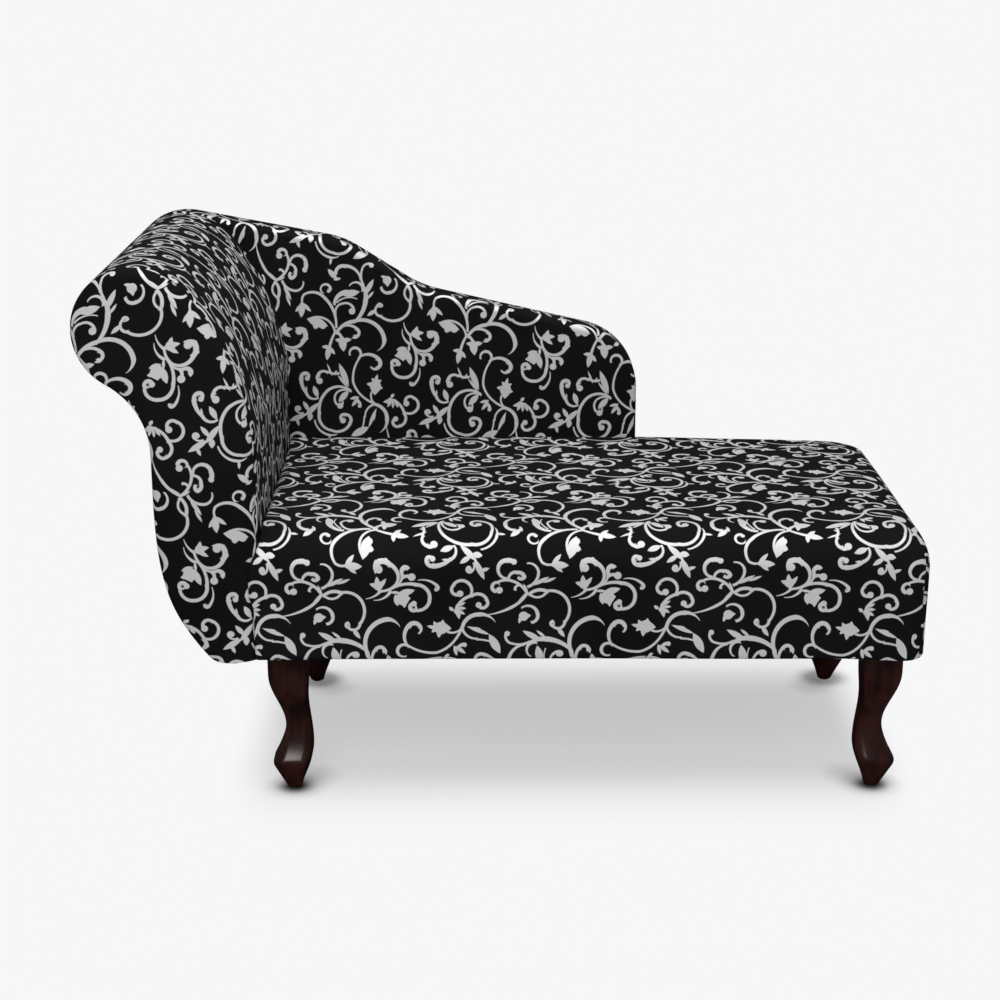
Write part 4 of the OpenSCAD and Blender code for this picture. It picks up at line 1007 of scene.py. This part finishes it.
inner_steps, bend_steps, roll_steps, throat_steps, side_steps, heel_steps = 10, 24, 60, 14, 26, 6
skin_y = facing_r + 2 - half_depth


def bezier(p, steps):
    line = []
    for i in range(steps + 1):
        t, s = i / steps, 1 - i / steps
        weights = (s ** 3, 3 * s * s * t, 3 * s * t * t, t ** 3)
        line.append(tuple(sum(w * q[k] for w, q in zip(weights, p)) for k in (0, 1)))
    return line


def swollen(line):
    """The outer side and the roll, pushed outwards and the heel down by their padding."""
    out = []
    for x, z in line:
        push = smooth((swell_from - swell_lean * (z - leg_height) - x) / swell_over)
        fall = ramp(x, *heel_x) * (1 - ramp(z, *heel_z))
        out.append((x - side_swell * push, z - heel_swell * fall))
    return out


def head_inner(d, low):
    leave = polar(roll_c, roll_r - d, inner_leave)
    bend = [(-d, inner_z), (-d, inner_z + inner_pull[0]),
            polar(leave, inner_pull[1], inner_leave - 90), leave]
    straight = [(-d, lerp(low, inner_z, k / inner_steps)) for k in range(inner_steps)]
    return swollen(straight + bezier(bend, bend_steps)[:-1])


def head_roll(d, start, steps=roll_steps):
    return swollen(bow(roll_c, roll_r - d, start, throat_a + 180, steps))


def head_outer(d, low):
    fall_x, fall_z = polar((0, 0), 1, 180 - heel_angle)
    r = max(heel_r - d, 1)
    foot = (d + low * fall_x) / fall_z - heel_w, leg_height + low
    tangent, drop = r * math.tan(math.radians(heel_angle / 2)), belly_z - leg_height
    start = (foot[0] + tangent * fall_x, foot[1] + tangent * fall_z)
    steer = (start[0] + heel_steer * drop * fall_x, start[1] + heel_steer * drop * fall_z)
    side = bezier([(side_x + d, belly_z), (side_x + d, belly_z - belly_steer * drop), steer, start],
                  side_steps)
    heel = bow((foot[0] + tangent, foot[1] + r), r, 270 - heel_angle, 270, heel_steps)
    return swollen(bow(throat_c, throat_r + d, throat_a, 0, throat_steps) + side[1:] + heel[1:])


def head_outline(d, low):
    return head_inner(d, leg_height + low) + head_roll(d, inner_leave)[:-1] + head_outer(d, low)


def head_edge(x, z):
    """Radius of the front edge: wide along the inner side, tight at the roll and outside."""
    turn = math.degrees(math.atan2(z - roll_c[1], x - roll_c[0]))
    return lerp(facing_r, head_soft_r, ramp(turn, *edge_opens) * (1 - ramp(turn, *edge_closes)))


def drape(name, lines, soft, uv, *nodes):
    """Cloth drawn over the headrest's depth along a line. It is turned in towards a second line:
    by the soft front edge, if there is one, and behind, where it is pinned to the rear board."""
    length, near = running_length(lines[0]), [skin_y + near_step * k for k in range(near_rows)]
    stations = [(y, 0.0) for y in near]
    stations += [(lerp(near[-1], head_rear_y, k / far_rows), 0.0) for k in range(1, far_rows + 1)]
    stations += [(head_rear_y, turn_in * k / turned_rows) for k in range(1, turned_rows + 1)]
    points, flat = [], []
    for y, turned_in in stations:
        for (x, z), (mx, mz), s in zip(*lines, length):
            front = arc_inset(head_edge(x, z), y + half_depth) if soft else 0.0
            t = max(front, turned_in) / edge_reach
            points.append((lerp(x, mx, t), y, lerp(z, mz, t)))
            flat.append(uv(y + turned_in, s))
    faces = open_bands(len(length), len(stations))
    made = piece(name, points, faces, cloth.material, [[flat[i] for i in f] for f in faces])
    thicken(made, cover_t)
    settle(made, "cover_fabric", *nodes, fill=0.92)


drape("headrest_inner_cloth",
      [head_inner(d, deck + fit) + head_roll(d, inner_leave) for d in (0, edge_reach)], True,
      lambda y, s: (y + 96.0, s + 40.0), "headrest_inside_cover", "headrest_inside_foam")
drape("headrest_outer_cloth",
      [head_outer(d, 0) + [(-rail_t, leg_height)] for d in (0, edge_reach)], False,
      lambda y, s: (-y + 60.0, -s + 150.0), "headrest_outside_cover", "headrest_outside_foam")


inset_step, inset_count, rim_rows = 4.0, 12, 10


def sewn_front(name, outline, face_y, rim_y, edge_at, uv, nodes, crown=()):
    """Front or rear cloth of a padded board: its face, a rounded edge and a rim turned back."""
    depth, back_to = abs(rim_y - face_y), math.copysign(1, rim_y - face_y)
    insets = [outline(inset_step * k, 0) for k in range(inset_count)]
    edges = [edge_at(x, z) for x, z in insets[0]]

    def moved(i, inset):
        k = min(int(inset / inset_step), inset_count - 2)
        (x0, z0), (x1, z1), t = insets[k][i], insets[k + 1][i], inset / inset_step - k
        return lerp(x0, x1, t), lerp(z0, z1, t)

    points, flat = [], []
    for k in range(rim_rows):
        for i, r in enumerate(edges):
            a = math.acos(1 - depth / r) if r > depth else math.pi / 2
            a *= 1 - k / (rim_rows - 1)
            straight = max(0.0, depth - r) if k == 0 else 0.0
            (x, z), (fx, fz), (ox, oz) = moved(i, r * (1 - math.sin(a))), moved(i, r), insets[0][i]
            way = (r * a + straight) / math.hypot(ox - fx, oz - fz)
            points.append((x, face_y + back_to * (r * (1 - math.cos(a)) + straight), z))
            flat.append((fx + (ox - fx) * way, fz + (oz - fz) * way))
    for inset, rise in crown:
        for i, r in enumerate(edges):
            x, z = moved(i, r + inset)
            points.append((x, face_y - back_to * rise, z))
            flat.append((x, z))
    count = len(edges)
    faces = ring_bands([points[k:k + count] for k in range(0, len(points), count)])
    faces.append(tuple(range(len(points) - count, len(points))))
    corners = [[uv(*flat[i]) for i in f] for f in faces]
    if back_to < 0:
        faces, corners = [f[::-1] for f in faces], [c[::-1] for c in corners]
    made = piece(name, points, faces, cloth.material, corners, smooth_angle=60)
    reshape(made, lambda shape: bmesh.ops.triangulate(
        shape, faces=[f for f in shape.faces if len(f.verts) > 4], ngon_method="BEAUTY"))
    thicken(made, cover_t)
    settle(made, "cover_fabric", *nodes, fill=0.95)


def rotated(x, z, degrees):
    c, s = math.cos(math.radians(degrees)), math.sin(math.radians(degrees))
    return c * x - s * z, s * x + c * z


facing_scale, facing_lean, lean_from = 0.997, 0.125, 540
facing_turn, facing_at = -7.17, (19.5, 204.5)


def on_head_front(x, z):
    u, v = rotated(facing_scale * (x_world(x) - facing_lean * max(0.0, z - lean_from)), z,
                   facing_turn)
    return u + facing_at[0], v + facing_at[1]


sewn_front("headrest_front_cloth", head_outline, -half_depth, skin_y - butt_gap, head_edge,
           on_head_front, ("headrest_front_facing", "headrest_front_padding"),
           crown=((3, 0.7), (8, 1.2)))

# ---------------------------------------------------------------------------------------------
# Back: a flat padded panel that repeats the scroll at its left end and slopes down to the right,
# with one cloth over the front and its edge, and a second over the rear.
back_edge_r, end_r, waist_r, shoulder_r, crest_a = 10.0, 95.0, 150.0, 120.0, 79.25
end_c, waist_c, shoulder_c = (503.0, 520.0), (194.0, 590.0), (82.0, 660.0)
back_turn, back_from, back_rear_at = 1.77, (-190, 450), (40.0, -300.0)
end_steps, bend_in_steps, crest_steps, long_steps, short_steps = 24, 20, 44, 10, 5
crest_start = polar(roll_c, roll_r, crest_a)
seam_y = half_depth - back_edge_r


def fillet(before, corner, after, r, d, steps):
    """Rounds a corner with radius r on a path that is moved d to its left."""
    u, w = Vector(corner) - Vector(before), Vector(after) - Vector(corner)
    u.normalize()
    w.normalize()
    bend = math.degrees(math.atan2(u.x * w.y - u.y * w.x, u.dot(w)))
    side, left = math.copysign(1, bend), Vector((-u.y, u.x))
    centre = Vector(corner) - r * math.tan(math.radians(abs(bend) / 2)) * u + side * r * left
    a0 = math.degrees(math.atan2(-side * left.y, -side * left.x))
    return bow(centre, r - side * d, a0, a0 + bend, steps)


def in_steps(a, b, count):
    return [(lerp(a[0], b[0], k / count), lerp(a[1], b[1], k / count)) for k in range(1, count)]


def back_outline(d, low):
    foot, roll = (back_len - d, deck + fit + low), head_roll(d, crest_a, crest_steps)
    end = fillet((back_len, deck), end_c, waist_c, end_r, d, end_steps)
    waist = fillet(end_c, waist_c, shoulder_c, waist_r, d, bend_in_steps)
    shoulder = fillet(waist_c, shoulder_c, crest_start, shoulder_r, d, bend_in_steps)
    return ([foot] + in_steps(foot, end[0], long_steps) + end
            + in_steps(end[-1], waist[0], long_steps) + waist
            + in_steps(waist[-1], shoulder[0], short_steps) + shoulder
            + in_steps(shoulder[-1], roll[0], short_steps)
            + roll[:-1] + head_outer(d, low)
            + [(-d - fit, leg_height + low), (-d - fit, deck + fit + low)])


sewn_front("back_front_cloth", back_outline, back_front, seam_y - butt_gap,
           lambda x, z: back_edge_r,
           lambda x, z: rotated(x_world(x) - back_from[0], z - back_from[1], back_turn),
           ("back_inside_cover", "back_foam", "back_edge_padding"))
sewn_front("back_rear_cloth", back_outline, half_depth, seam_y,
           lambda x, z: back_edge_r,
           lambda x, z: (back_rear_at[0] - x_world(x), z + back_rear_at[1]),
           ("back_outside_cover", "back_rear_padding"))
